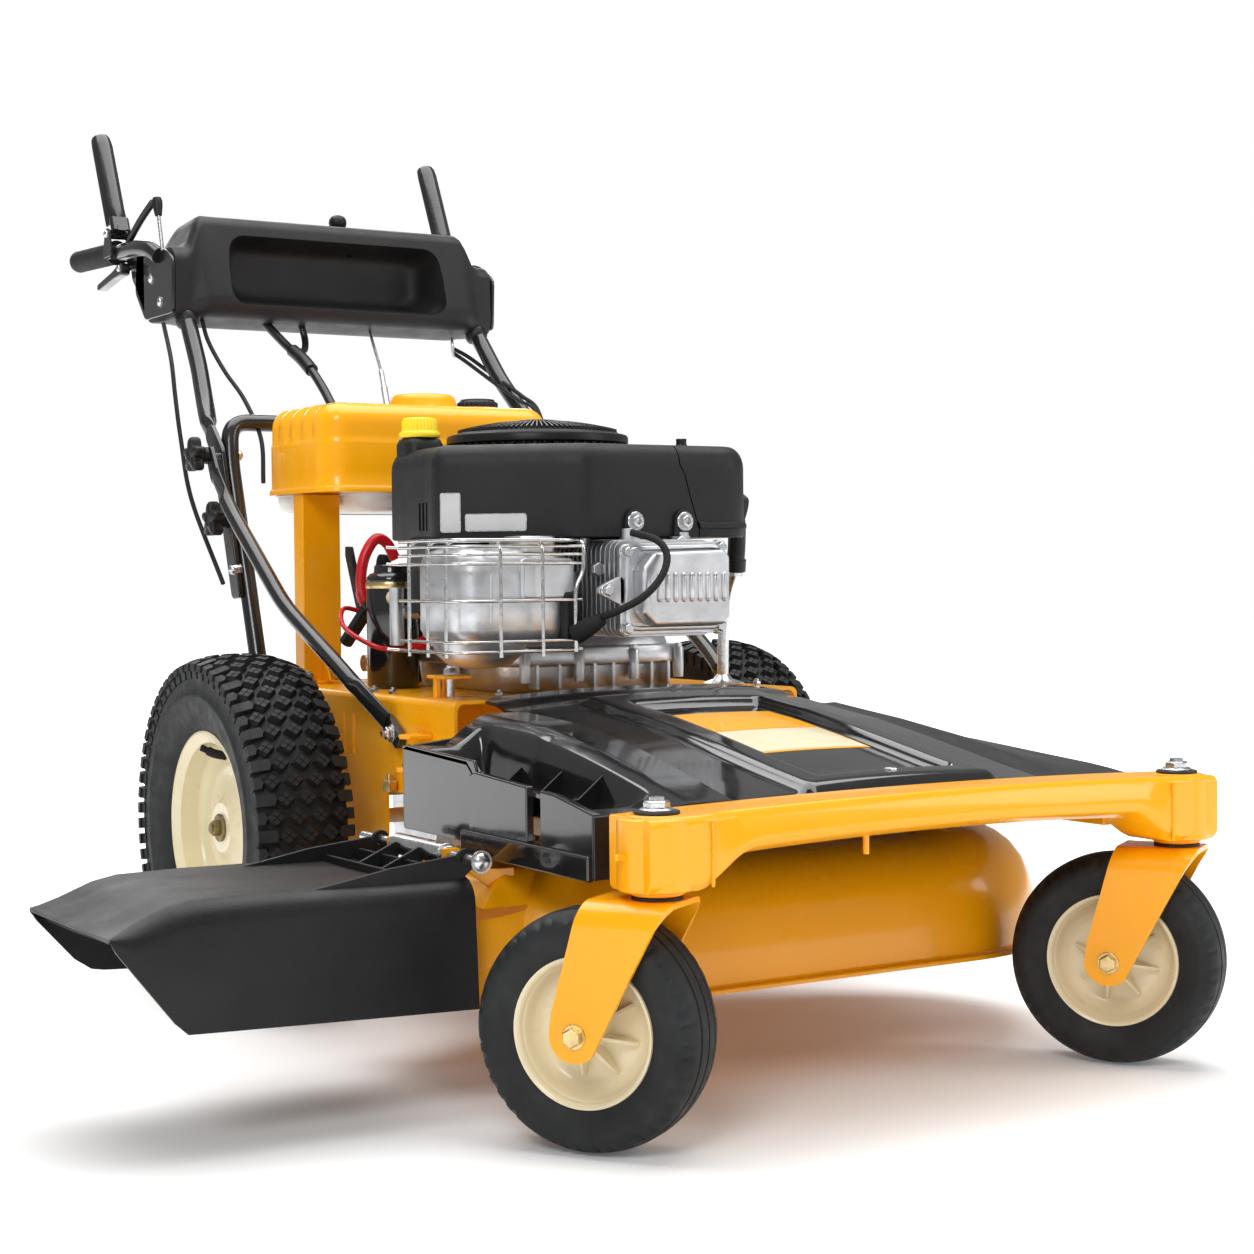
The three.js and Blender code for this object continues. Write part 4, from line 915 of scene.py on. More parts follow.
def centre_height(x, y):
    """The crowned cover with a raised frame round a recessed panel."""
    right, left, front, rear = PANEL
    z = cover_height(x, y)
    frame_x = smoothstep((x - right + 34) / 12) * smoothstep((left + 38 - x) / 14)
    frame_y = smoothstep((rear + 60 - y) / 24)
    z += 9 * frame_x * frame_y
    inside = smoothstep((x - right) / 8) * smoothstep((left - x) / 8)
    inside *= smoothstep((y - front) / 8) * smoothstep((rear - y) / 14)
    z -= 12 * inside
    return z + 5 * smoothstep((y + 400) / 30) - 10 * smoothstep((-838 - y) / 16)


def near_height(x, y):
    """The right cover: an arched crest by the seam, an open recess and a low outer rim."""
    out = (-SEAM_X - x) / 147
    crest = cover_height(-SEAM_X, y) + 4 + 9 * math.sin(math.pi * min(1, max(0, (y + 838) / 396)))
    shoulder = along([(-838, 296), (-790, 302), (-770, 306), (-600, 318), (-585, 330), (-442, 337)], y)
    z = crest + (shoulder - crest) * smoothstep((out - 0.30) / 0.42)
    edge = smoothstep((y + 806) / 30) * smoothstep((-470 - y) / 24)
    hollow = smoothstep((out - 0.44) / 0.07) * smoothstep((0.93 - out) / 0.05) * edge
    return z - (z - 288) * hollow


def far_height(x, y):
    out = (x - SEAM_X) / 134
    crown = cover_height(SEAM_X, y)
    rim = along([(-852, 296), (-800, 303), (-770, 306), (-590, 318), (-442, 326)], y)
    z = crown + (rim - crown) * out
    z += 6 * smoothstep((out - 0.05) / 0.2) * smoothstep((0.7 - out) / 0.5) * smoothstep((y + 852) / 120)
    return z - 12 * smoothstep((out - 0.9) / 0.1) - 10 * smoothstep((-838 - y) / 16)


def steps(start, end, count):
    return [start + (end - start) * i / count for i in range(count + 1)]


def build_covers():
    def on(height):
        return lambda x, y: (x, y, height(x, y))

    centre = panel(steps(-SEAM_X + 0.6, SEAM_X - 0.6, 98), steps(-852, -341, 110), on(centre_height), 4,
                   (0, 0, -1))
    piece("belt_cover", centre, GLOSS, sharp=60, replaces=["centre_cover"])
    near = panel(steps(-343, -SEAM_X - 0.6, 60), steps(-838, -442, 100), on(near_height), 3.5, (0, 0, -1))
    piece("near_cover_top", near, GLOSS, sharp=60, replaces=["cover_right"])
    far = panel(steps(SEAM_X + 0.6, 330, 34), steps(-852, -442, 60), on(far_height), 3.5, (0, 0, -1))
    piece("far_cover_top", far, SATIN, sharp=60, replaces=["cover_left"])
    rear_wall = [(-442, 250), (-442, 335), (-452, 339), (-600, 332), (-606, 320), (-606, 249)]
    wall = prism("x", rear_wall, -343, -339)
    piece("near_cover_side", wall, GLOSS, edge=1.5, rounds=3)
    lip_box = prism("x", [(-600, 242), (-600, 318), (-612, 322), (-770, 312), (-838, 300), (-838, 240)],
                    -349, -340)
    slot = box(-360, -742, 262, -330, -716, 330)
    piece("near_cover_box", lip_box, GLOSS, edge=2, rounds=3, cutters=[slot])
    piece("near_cover_foot", prism("x", [(-590, 240), (-590, 264), (-836, 262), (-836, 238)], -354, -346),
          GLOSS, edge=2.5, rounds=3)
    piece("near_cover_front", prism("y", [(-349, 240), (-349, 298), (-SEAM_X, 300), (-SEAM_X, 286),
                                          (-300, 284), (-300, 240)],
                                    -840, -836), SATIN, edge=1.5)
    piece("near_cover_back", prism("y", [(-343, 252), (-343, 336), (-SEAM_X, 352), (-SEAM_X, 334),
                                         (-272, 292), (-272, 252)],
                                   -445, -441), SATIN, edge=1.5)
    piece("near_cover_hollow", box(-330, -800, 284, -264, -470, 287), MOULDED, edge=1)
    ribs = [prism("y", [(-330, 286), (-262, 286), (-262, 322), (-290, 300), (-330, 296)], y,
                  y + 3) for y in (-560, -640, -715)]
    piece("near_cover_ribs", merge(*ribs), MOULDED, edge=0.8)
    far_wall = prism("x", [(-442, 262), (-442, 312), (-770, 296), (-852, 284), (-852, 262)], 326, 330)
    piece("far_cover_side", far_wall, SATIN, edge=1.5)

    def badge(x0, x1, y0, y1, lift):
        return panel(steps(x0, x1, 12), steps(y0, y1, 16), lambda x,
                     y: (x, y, cover_height(x, y) - 2.6 + lift), 2.2,
                     (0, 0, -1))

    piece("badge_rim", badge(-66, 80, -694, -510, 0), YELLOW, sharp=50)
    piece("badge_upper", badge(-62, 76, -604, -514, 0.6), YELLOW, sharp=50)
    piece("badge_lower", badge(-62, 76, -690, -606, 0.6), BADGE_LOW, sharp=50)
    at = (4, -822, cover_height(4, -822) + 3)
    piece("cover_bolt", merge(lathe([(4, 0), (10, 0), (10, 1.6), (4, 1.6)], at, sides=28),
                              hexagon((at[0], at[1], at[2] + 1.5), (0, 0, 1), 12, 6)), STEEL, edge=0.5)


build_covers()

# ------------------------------------------------------------------ chassis
CHASSIS_HALF = 235
CHASSIS_FRONT, CHASSIS_REAR, CHASSIS_TOP = -352, 200, 375


def chassis_shape():
    """The folded sheet: two sides and a top with round bends, open at both ends."""
    bend, sheet = 9, 4
    across = [(-CHASSIS_HALF, 0), *[(x, z) for x, z in arc(-CHASSIS_HALF + bend, CHASSIS_TOP - bend, bend,
                                                           180, 90, 6)]]
    across += [(-x, z) for x, z in reversed(across)]

    def under(y):
        return along([(CHASSIS_FRONT, 262), (-230, 262), (-150, 186), (60, 186), (CHASSIS_REAR, 250)], y)

    stations = [CHASSIS_FRONT, -300, -230, -190, -150, -60, 0, 60, 130, CHASSIS_REAR]
    rings = []
    for y in stations:
        outer = [(x, under(y) if z == 0 else z) for x, z in across]
        inner = [(x * (1 - sheet / CHASSIS_HALF), z if k in (0, len(outer) - 1) else z - sheet)
                 for k, (x, z) in enumerate(outer)]
        rings.append([Vector((x, y, z)) for x, z in [*outer, *reversed(inner)]])
    return loft(rings)


def build_chassis():
    slots = [prism("x", pill(y - 4, 300, y + 4, 352, 4), -250, -220) for y in (-88, -62)]
    window = prism("x", pill(-232, 205, -176, 262, 4), -250, -220)
    crank = bar((0, -132, 340), (0, -132, 400), 22)
    axle = bar((-250, 0, AXLE_Z), (250, 0, AXLE_Z), 15)
    piece("chassis_box", chassis_shape(), YELLOW, sharp=34, cutters=[*slots, window, crank, axle],
          replaces=["main_frame"])
    rear = prism("y", pill(-CHASSIS_HALF + 5, 262, CHASSIS_HALF - 5, CHASSIS_TOP - 5, 8), CHASSIS_REAR - 4,
                 CHASSIS_REAR)
    piece("chassis_rear", rear, YELLOW, edge=1)
    for word, side in SIDES.items():
        def at(low, high):
            return sorted((side * low, side * high))

        x0, x1 = at(254, 266)
        rail = box(x0, BEAM_BACK + 1, 250, x1, -300, 286)
        g0, g1 = at(CHASSIS_HALF - 2, 256)
        piece(f"side_rail_{word}", merge(rail, box(g0, -340, 262, g1, -302, 286)), YELLOW, edge=2)
        p0, p1 = at(152, 205)
        post = prism("y", [(p0, 374), (p1, 374), (p1, 621), (p0, 621)], 125, 155)
        foot = box(p0 - 6, 109, 374, p1 + 6, 158, 379)
        rib = prism("x", [(126, 378), (100, 378), (126, 430)], (p0 + p1) / 2 - 2, (p0 + p1) / 2 + 2)
        piece(f"tank_post_{word}", merge(post, foot, rib), YELLOW, edge=3, rounds=3)
        bolts = [merge(lathe([(5, 0), (11, 0), (11, 2), (5, 2)], (x, 117, 379), sides=28),
                       hexagon((x, 117, 381), (0, 0, 1), 13, 8), bar((x, 117, 388), (x, 117, 392), 3.6))
                 for x in (p0 + 2, p1 - 2)]
        piece(f"post_bolts_{word}", merge(*bolts), STEEL, edge=0.5)
    idler = [prism("z", [(-224, -306), (-188, -306), (-180, -290), (-188, -262), (-224, -262)], 397, 401),
             box(-221, -280, 374, -214, -272, 398), box(-205, -268, 374, -190, -264, 398)]
    piece("idler_bracket", merge(*idler), YELLOW, edge=1.5)
    piece("idler_bolt", merge(hexagon((-206, -286, 401), (0, 0, 1), 14, 8),
                              bar((-206, -286, 375), (-206, -286, 412), 4)),
          STEEL, edge=0.5)
    shelves = [prism("z", [(-236, y), (-262, y + 6), (-268, y + 20), (-262, y + 34), (-236, y + 40)], z,
                     z + 5)
               for y, z in ((-300, 330), (-292, 292))]
    piece("chassis_lugs", merge(*shelves), YELLOW, edge=1.5)
    link = merge(bar((-247, -262, 296), (-262, -290, 297), 5), hexagon((-247, -256, 296), (0, -1, 0), 12, 8))
    piece("chassis_link", link, DARK, edge=0.5)
    nut = merge(hexagon((-244, -205, 264), (0, 0, 1), 16, 13), bar((-244, -205, 276), (-244, -205, 284), 4))
    piece("brass_nut", nut, BRASS, edge=0.5)
    screws = [merge(hexagon((x, y, 375), (0, 0, 1), 9, 5), bar((x, y, 379), (x, y, 383), 2.4))
              for x, y in ((-222, -170), (-222, -120), (-150, -300), (212, -300))]
    piece("top_screws", merge(*screws), STEEL, edge=0.4)


build_chassis()

# ------------------------------------------------------------------ shapes for mouldings
def dense(outline, gap=6):
    """The same closed outline with points no further apart than the gap."""
    out = []
    for (x0, y0), (x1, y1) in zip(outline, outline[1:] + outline[:1]):
        count = max(1, math.ceil(math.hypot(x1 - x0, y1 - y0) / gap))
        out += [(x0 + (x1 - x0) * i / count, y0 + (y1 - y0) * i / count) for i in range(count)]
    return out


def shrunk(outline, inset):
    """An anticlockwise outline moved inward by inset(x, y)."""
    out = []
    for i, (x, y) in enumerate(outline):
        (xa, ya), (xb, yb) = outline[i - 1], outline[(i + 1) % len(outline)]
        run = max(1e-6, math.hypot(xb - xa, yb - ya))
        depth = inset(x, y)
        out.append((x - (yb - ya) / run * depth, y + (xb - xa) / run * depth))
    return out


def moulded(axis, outline, profile, wall=None, closed=False):
    """An outline drawn in or out along its axis. profile is (inset, place); wall(u, v, w) adds to the inset.

    A closed profile makes a rim with an open middle.
    """
    put = AXES[axis]
    rings = []
    for inset, w in profile:
        ring = shrunk(outline, lambda u, v: inset + (wall(u, v, w) if wall else 0))
        rings.append([put(u, v, w) for u, v in ring])
    return loft(rings, loop=closed, caps=not closed)


def rounded_top(start, top, radius, drop=None):
    """Profile of a wall that turns over into a flat top."""
    drop = drop or radius
    count = 7
    turn = [(radius * (1 - math.cos(a)), top - drop * (1 - math.sin(a))) for a in
            (math.radians(90 * i / count) for i in range(count + 1))]
    return [(0, start), *turn]


def rounded(points, radius, steps=4):
    """A closed outline whose corners are rounded off."""
    out = []
    for i, corner in enumerate(points):
        at, before, after = Vector(corner), Vector(points[i - 1]), Vector(points[(i + 1) % len(points)])
        a, b = before - at, after - at
        reach = min(radius, a.length * 0.45, b.length * 0.45)
        entry, leave = at + a.normalized() * reach, at + b.normalized() * reach
        for k in range(steps + 1):
            t = k / steps
            out.append(tuple(entry * (1 - t) ** 2 + at * 2 * t * (1 - t) + leave * t * t))
    return out


def standing(start, end, outline, low, high):
    """An outline of (distance from the start towards the end, height above it) on an upright face.

    It lies between `low` and `high` in front of the face.
    """
    at = Vector(start)
    run = (Vector(end) - at).normalized()
    out = Vector((run.y, -run.x, 0))
    return loft([[at + run * u + Vector((0, 0, v)) + out * w for u, v in outline] for w in (low, high)])


def washer_bolt(at, axis, size=10, washer=10, head=5, stud=0):
    """A washer and hexagon head, with the stud's end if there is one."""
    at, axis = Vector(at), Vector(axis).normalized()
    shapes = [lathe([(size * 0.3, 0), (washer, 0), (washer, 1.2), (washer - 0.6, 1.8), (size * 0.3, 1.8)],
                    at, axis, 32),
              hexagon(at + axis * 1.8, axis, size * 1.16, head)]
    if stud:
        shapes.append(bar(at + axis * (head + 1.6), at + axis * (head + 1.6 + stud), size * 0.32))
    return merge(*shapes)


# ------------------------------------------------------------------ fuel tank
TANK_HALF = 206
TANK_FRONT, TANK_BACK = 45, 250
TANK_SEAM = 622
FILLER = (88, 190)


def flutes(x, y, z):
    """How far the tank cover's wall stands back: flutes at its right end, above a plain band."""
    back = 1.6 * smoothstep((z - 686) / 5)
    if x < -150 and 84 < y < 228:
        groove = 0.5 - 0.5 * math.cos(2 * math.pi * (y - 84) / 36)
        back += 4.2 * groove ** 2 * smoothstep((z - 688) / 6) * smoothstep((-150 - x) / 40)
    return back


def build_tank():
    lip = [(-3, TANK_SEAM), (-3, TANK_SEAM + 5), (-1.4, TANK_SEAM + 7), (0, TANK_SEAM + 9), (0, 650),
           (0, 684), (0, 687),
           (0, 690), (0, 694), (0, 700), (0, 706)]
    low_lip = [row for row in lip if row[1] < 690]
    main = moulded("z", dense(pill(-TANK_HALF, TANK_FRONT, 128, TANK_BACK, 34, 10)),
                   [*lip, *rounded_top(0, 737, 26)[1:]], flutes)
    low = moulded("z", dense(pill(30, TANK_FRONT + 1, TANK_HALF, TANK_BACK - 1, 34, 10)),
                  [*low_lip, *rounded_top(0, 716, 24)[1:]], flutes)
    hump = lathe([(52, 728), (50, 735), (46, 741), (44, 748), (42, 753), (38, 756), (30, 757)],
                 (-18, 147, 0), sides=80)
    piece("tank_shell", merge(main, low, hump), YELLOW, sharp=50, replaces=["tank_cover"])
    neck = lathe([(26, 700), (27, 742), (26, 746)], (*FILLER, 0), sides=56)
    piece("filler_neck", neck, YELLOW, sharp=50)

    def grip(index, angle):
        return 0.9 * math.sin(angle * 24) if index in (1, 2) else 0

    cap = lathe([(20, 745.6), (27.4, 746), (27.4, 751.5), (25.6, 753.4), (24, 754), (23.4, 756.4), (20, 757),
                 (6, 757)],
                (*FILLER, 0), sides=192, wobble=grip)
    piece("filler_cap", cap, MOULDED, sharp=60, replaces=["fuel_cap"])
    front = moulded("z", dense(pill(-146, 57, 146, 244, 40, 8)),
                    [(26, 597), (12, 599), (4, 605), (0, 614), (0, 620), (-4, 620.5), (-4, 624), (0, 624.4),
                     (2, 700)])
    back = moulded("z", dense(pill(-200, 158, 200, 244, 36, 8)),
                   [(26, 597), (12, 599), (4, 605), (0, 614), (0, 620), (-3, 620.5), (-3, 621.6), (2, 621.8),
                    (2, 700)])
    piece("tank_lobes", merge(front, back), TANK, sharp=40, replaces=["fuel_tank"])


# ------------------------------------------------------------------ engine
CRANK_Y = -132
FILLER_X, FILLER_Y = -186, -177
SHROUD_LOW, SHROUD_TOP = 556, 663
SPLIT = [(34, 720), (35, 640), (42, 628), (47, 610), (61, 566), (62, 540)]


def shroud_plan():
    return [
        *arc(0, CRANK_Y, 172, 14, 165, 30), *arc(-205, -162, 10, 90, 170, 4), (-219, -255),
            *arc(-198, -278, 24, 165, 215, 7), (-110, -385),
        *arc(-80, -372, 28, 235, 270, 5), (30, -400), *arc(105, -362, 38, -90, 0, 9), (150, -240),
    ]


def build_shroud():
    profile = [(3, SHROUD_LOW), (0.6, SHROUD_LOW + 1), (0, SHROUD_LOW + 3), (0, 600),
               *rounded_top(0, SHROUD_TOP, 20, 26)[1:]]
    whole = moulded("z", dense(shroud_plan(), 7), profile)
    right = prism("y", [*SPLIT, (300, 540), (300, 720)], -460, -168)
    left = prism("y", [(-300, 720), *[(x + 1.6, z) for x, z in SPLIT], (-300, 540)], -460, -100)
    behind = box(-300, -169.5, 530, 300, 200, 730)
    slots = [box(-240, y, 566, -211, y + 5, 598) for y in (-262, -252, -242)]
    under = bar((0, CRANK_Y, 540), (0, CRANK_Y, 730), 104, 72)
    piece("blower_shroud", whole, TEXTURED, sharp=40, cutters=[right, under, *slots],
          replaces=["engine_shroud"])
    skirt = moulded("z", dense(shroud_plan(), 7), [(-0.4, 566), (-3.2, 566.4), (-3.4, 571), (-2, 573),
                                                   (0, 574.4)])
    piece("air_cleaner_shell", whole, TEXTURED, sharp=40, cutters=[left, behind, under],
          replaces=["air_cleaner_cover"])
    piece("air_cleaner_lip", skirt, TEXTURED, sharp=40, cutters=[left, behind, under])
    rim = lathe([(104.4, 655), (120, 660), (117, 663.4), (115.4, 664.4), (115.4, 665.4), (104.4, 665.4)],
                (0, CRANK_Y, 0), sides=96, closed=True)
    piece("shroud_rim", rim, TEXTURED, sharp=50)
    duct = moulded("z", dense(pill(-224, -292, -150, -206, 14, 5)), [(6, 520), (2, 523), (0, 530), (0, 557)])
    piece("shroud_duct", duct, MOULDED, sharp=45)
    knob = merge(lathe([(8, 662), (7, 664), (6, 671), (6.6, 672.5), (6, 674)], (84, -330, 0), sides=32),
                 prism("z", pill(40, -306, 66, -288, 6), 662, 665.5))
    piece("air_cleaner_knob", knob, SATIN, sharp=50)
    for x in (-28, 39):
        ear = prism("y", [*arc(x, 575, 13, 0, 180, 10), (x - 14.5, 557), (x + 14.5, 557)], -404.5, -394)
        name = "right" if x < 0 else "left"
        piece(f"shroud_ear_{name}", ear, TEXTURED, edge=1.6, rounds=3)
        bolt = merge(lathe([(3, 0), (11, 0), (11, 1.4), (10.2, 2), (3, 2)], (x, -404.5, 574), (0, -1, 0),
                           36),
                     lathe([(7.4, 0), (7.4, 4.4), (6.6, 5.4), (4.4, 5.6), (4.2, 2.2), (0.1, 2)],
                           (x, -406.4, 574), (0, -1, 0), 6))
        piece(f"shroud_bolt_{name}", bolt, STEEL, sharp=30)
    face = ((-217.6, -291.8, 0), (-110, -385, 0))
    for name, u0, u1, v0, v1 in (("tall", -1, 23, 563, 608), ("wide", 28, 99, 564, 584)):
        piece(f"plate_{name}_rim", standing(*face, pill(u0, v0, u1, v1, 3), 0, 0.9), STEEL, sharp=30)
        piece(f"plate_{name}", standing(*face, pill(u0 + 1.3, v0 + 1.3, u1 - 1.3, v1 - 1.3, 2), 0, 1.3),
              LABEL,
              sharp=30)


def build_screen():
    """The turning intake screen: a grooved band, a smooth band and a dome of fine ribs."""
    def slots(index, angle):
        return -4 if index in (2, 3) and (angle * 54 / (2 * math.pi)) % 1 < 0.62 else 0

    band = [(60, 666.6), (110, 666.6), (110, 667.4), (110, 674.4), (112, 675.2), (113, 676), (113, 683),
            (111.6, 685.4),
            (108, 686.6), (103, 687), (101, 689), (60, 699.6), (30, 702.4), (0, 703)]
    piece("screen_band", lathe(band, (0, CRANK_Y, 0), sides=432, wobble=slots), MOULDED, "crank", sharp=35,
          replaces=["engine_screen"])

    def dome_height(r):
        return 706 - 13 * (r / 100) ** 2

    ribs = []
    for k in range(96):
        turn = Matrix.Rotation(2 * math.pi * k / 96, 3, "Z")
        start = 24 if k % 2 else 48
        section = [(r, dome_height(r)) for r in (start, 60, 74, 88, 99)]
        outline = [*section, *[(r, z - 3.4) for r, z in reversed(section)]]
        middle = Vector((0, CRANK_Y, 0))
        rib = loft([[turn @ Vector((r, w, z)) + middle for r, z in outline] for w in (-0.75, 0.75)])
        ribs.append(rib)
    for r in (24, 37, 50, 63, 76, 88, 98):
        z = dome_height(r)
        ribs.append(lathe([(r - 0.8, z - 3), (r + 0.8, z - 3), (r + 0.8, z - 0.3), (r - 0.8, z - 0.2)],
                          (0, CRANK_Y, 0), sides=72,
                          closed=True))
    ribs.append(lathe([(24, 700), (24, 705.6), (16, 706.6), (0.1, 707)], (0, CRANK_Y, 0), sides=48))
    piece("screen_ribs", merge(*ribs), MOULDED, "crank", sharp=35)


def build_crankcase():
    sump = moulded("z", dense(pill(-125, -285, 125, 10, 60, 10)),
                   [(12, 375.4), (8, 380), (6, 396), (5, 406), (-3, 408), (-4, 410), (-4, 426), (-3, 428),
                    (6, 429), (10, 440),
                    (22, 450), (40, 452)])
    block = lathe([(100, 440), (110, 446), (112, 452), (112, 556), (108, 560)], (0, CRANK_Y, 0), sides=72)
    bosses = []
    for x, y in ((-110, -290), (-36, -289), (40, -289), (112, -276), (-129, -150), (129, -150), (-126, -20),
                 (126, -20)):
        bosses.append(lathe([(6, 388), (6.6, 400), (6.6, 424), (6, 425)], (x, y, 0), sides=24))
        bosses.append(hexagon((x, y, 424.6), (0, 0, 1), 9, 5))
    webs = [box(x - 2, -289, 380, x + 2, -270, 409) for x in (-92, -62, -14, 12, 66, 90)]
    piece("sump_casting", merge(sump, block, *bosses, *webs), CAST, edge=0.8, sharp=34,
          replaces=["crankcase"])
    fins = [prism("y", pill(-66, 443, 66, 553, 14), y, y + 3.2) for y in range(-419, -230, 10)]
    core = prism("y", pill(-52, 452, 52, 546, 12), -425, -180)
    piece("cylinder_fins", merge(core, *fins), CAST, edge=0.6, sharp=34)
    neck = lathe([(15, 470), (15, 560), (17, 566), (17, 676)], (FILLER_X, FILLER_Y, 0), sides=48)
    piece("oil_filler", merge(neck, bar((FILLER_X, FILLER_Y, 480), (-120, FILLER_Y, 470), 13)), MOULDED,
          sharp=45)
    top = moulded("z", dense(pill(-210, FILLER_Y - 24, -162, FILLER_Y + 24, 14, 5)),
                  [(0, 640), (0, 669), (3, 675), (8, 677)])
    piece("oil_filler_boss", top, TEXTURED, sharp=45)

    def grip(index, angle):
        return 0.6 * math.sin(angle * 30) if index in (5, 6) else 0

    cap = lathe([(18, 677.3), (23.6, 677.6), (24.4, 679), (24.4, 682.4), (22.4, 684.4), (20.6, 685.6),
                 (20.4, 697.6),
                 (18.4, 700.4), (15, 701), (14, 699.6), (0.1, 699.6)], (FILLER_X, FILLER_Y, 0), sides=180,
                wobble=grip)
    piece("oil_filler_cap", cap, BRIGHT, sharp=50, replaces=["oil_cap"])


def build_valve_cover():
    corners = ((-58, 539), (69, 544), (-58, 453), (68, 453))
    plate = [prism("y", rounded([(-66, 446), (76, 446), (77, 551), (-66, 548)], 14, 5), -431, -424.4),
             *[prism("y", circle(x, z, 9), -432, -424.4) for x, z in corners],
             prism("y", rounded([(-60, 478), (-60, 514), (-80, 506), (-93, 500), (-93, 492), (-80, 486)], 9,
                                5), -431, -424.4)]
    piece("valve_cover_plate", merge(*plate), CAST, edge=0.9, sharp=34, replaces=["valve_cover"])
    rim = moulded("y", rounded([(-61, 450), (-61, 545), (73, 548), (73, 450)][::-1], 18, 6),
                  [(0, -430), (0, -434.5), (1.4, -436), (4, -436), (5, -434), (6, -430)], closed=True)
    piece("valve_cover_rim", rim, CAST, sharp=60)
    field = prism("y", [(-48, 470), (-48, 520), (-32, 538), (62, 541), (69, 534), (69, 462), (62, 456),
                        (-32, 456)], -453, -430)
    piece("valve_cover_field", field, CAST, edge=9, rounds=5)
    band = prism("y", rounded([(-40, 480), (64, 480), (64, 518), (-40, 518)], 4), -453.6, -450)
    ribs = [merge(bar((x, -453, 485), (x, -453, 513), 3.4, 20), dome((x, -453, 513), (0, 0, 1), 3.4, 3, 20),
                  dome((x, -453, 485), (0, 0, -1), 3.4, 3, 20)) for x in (-28 + 10.9 * k for k in range(9))]
    piece("valve_cover_ribs", merge(band, *ribs), CAST, sharp=40)
    bolts = [washer_bolt((x, -432, z), (0, -1, 0), 9, 8, 5) for x, z in (*corners, (-84, 496))]
    piece("valve_cover_bolts", merge(*bolts), STEEL, edge=0.4)
    boss = merge(bar((-32, -398, 548), (-32, -398, 566), 12), bar((38, -392, 545), (38, -392, 562), 14),
                 bar((-8, -388, 548), (22, -388, 548), 7), hexagon((30, -406, 550), (0, -1, 0), 14, 8),
                 hexagon((-8, -400, 549), (0, -1, 0), 10, 7))
    piece("intake_boss", boss, CAST, edge=0.8)
    lead = spline([(-88, -424, 466), (-80, -446, 473), (-56, -464, 489), (-34, -468, 512), (-24, -463, 535),
                   (-29, -450, 552),
                   (-46, -424, 561)], 10)
    boot = spline([(-104, -398, 448), (-97, -412, 455), (-86, -426, 465)], 6)
    coil = box(-118, -396, 440, -92, -372, 496)
    piece("spark_wire", tube(lead, 4.2, 16), RUBBER, sharp=50, replaces=["spark_lead"])
    piece("spark_boot", tube(boot, 10.5, 24, squash=lambda t: (1.15 - 0.5 * t * t,) * 2), RUBBER, sharp=50)
    piece("spark_coil", coil, MOULDED, edge=6, rounds=4)


def build_muffler():
    can = moulded("z", dense(pill(-242, -388, -98, -262, 30, 8)),
                  [(24, 436), (14, 438), (5, 444), (0, 454), (0, 480), (0, 524), (3, 534), (10, 541),
                   (20, 545), (30, 546)])
    piece("muffler_can", can, CAST, sharp=40, replaces=["muffler"])
    panel_edge = prism("y", pill(-170, 485, -102, 533, 7), -391, -386)
    panel_face = prism("y", pill(-166, 489, -106, 529, 4), -393, -386)
    piece("muffler_panel", merge(panel_edge, panel_face), CAST, edge=1.2, rounds=3)
    trim = [moulded("z", pill(-164, -384, -118, -330, 10), [(0, 540), (0, 556), (2, 558)]),
            bar((-108, -330, 508), (-66, -330, 508), 13), hexagon((-84, -330, 508), (1, 0, 0), 32, 14),
            bar((-66, -352, 546), (-66, -352, 556), 8), hexagon((-72, -388, 520), (0, -1, 0), 15, 9),
            lathe([(54, 0), (50, -14), (36, -26), (16, -31), (0.1, -32)], (-186, -322, 440), sides=56)]
    piece("muffler_fittings", merge(*trim), CAST, edge=0.8, sharp=34)
    beads = [tube([(x, y, 462), (x, y, 516)], 2.2, 16) for x, y in ((-221, -382.4), (-206, -386.6))]
    piece("muffler_beads", merge(*beads), CAST, sharp=45)


def build_guard():
    wires = []
    for z in (430, 441, 486, 527, 537, 546):
        wires.append(tube(route([(-99 if z > 480 else -108, -402, z), (-256, -402, z), (-256, -262, z)], 34,
                                9), 1.9, 12))
    for x, y in ((-203, -404), (-150, -404)):
        wires.append(tube(route([(x, y, 424), (x, y, 553), (x, -320, 553)], 14, 7), 2.1, 12))
    wires.append(tube(route([(-108, -404, 428), (-108, -404, 500), (-97, -404, 518), (-97, -404, 553),
                             (-97, -320, 553)], 12, 7),
                      2.3, 12))
    for y in (-372, -330, -286):
        wires.append(tube(route([(-254 - (y + 372) / 40, y, 424), (-254 - (y + 372) / 40, y, 553),
                                 (-190, y, 553)], 14, 7),
                          2.1, 12))
    wires.append(tube(route([(-97, -320, 553), (-97, -404, 553), (-256, -404, 553), (-256, -262, 553)], 26,
                            9), 2.1, 12))
    for z in (430, 527, 546):
        wires.append(tube([(-256, -262, z), (-264, -246, z + 1)], 1.9, 12))
    piece("guard_wires", merge(*wires), WIRE, sharp=50, replaces=["muffler_guard"])


STARTER = (-162, -48, 0)


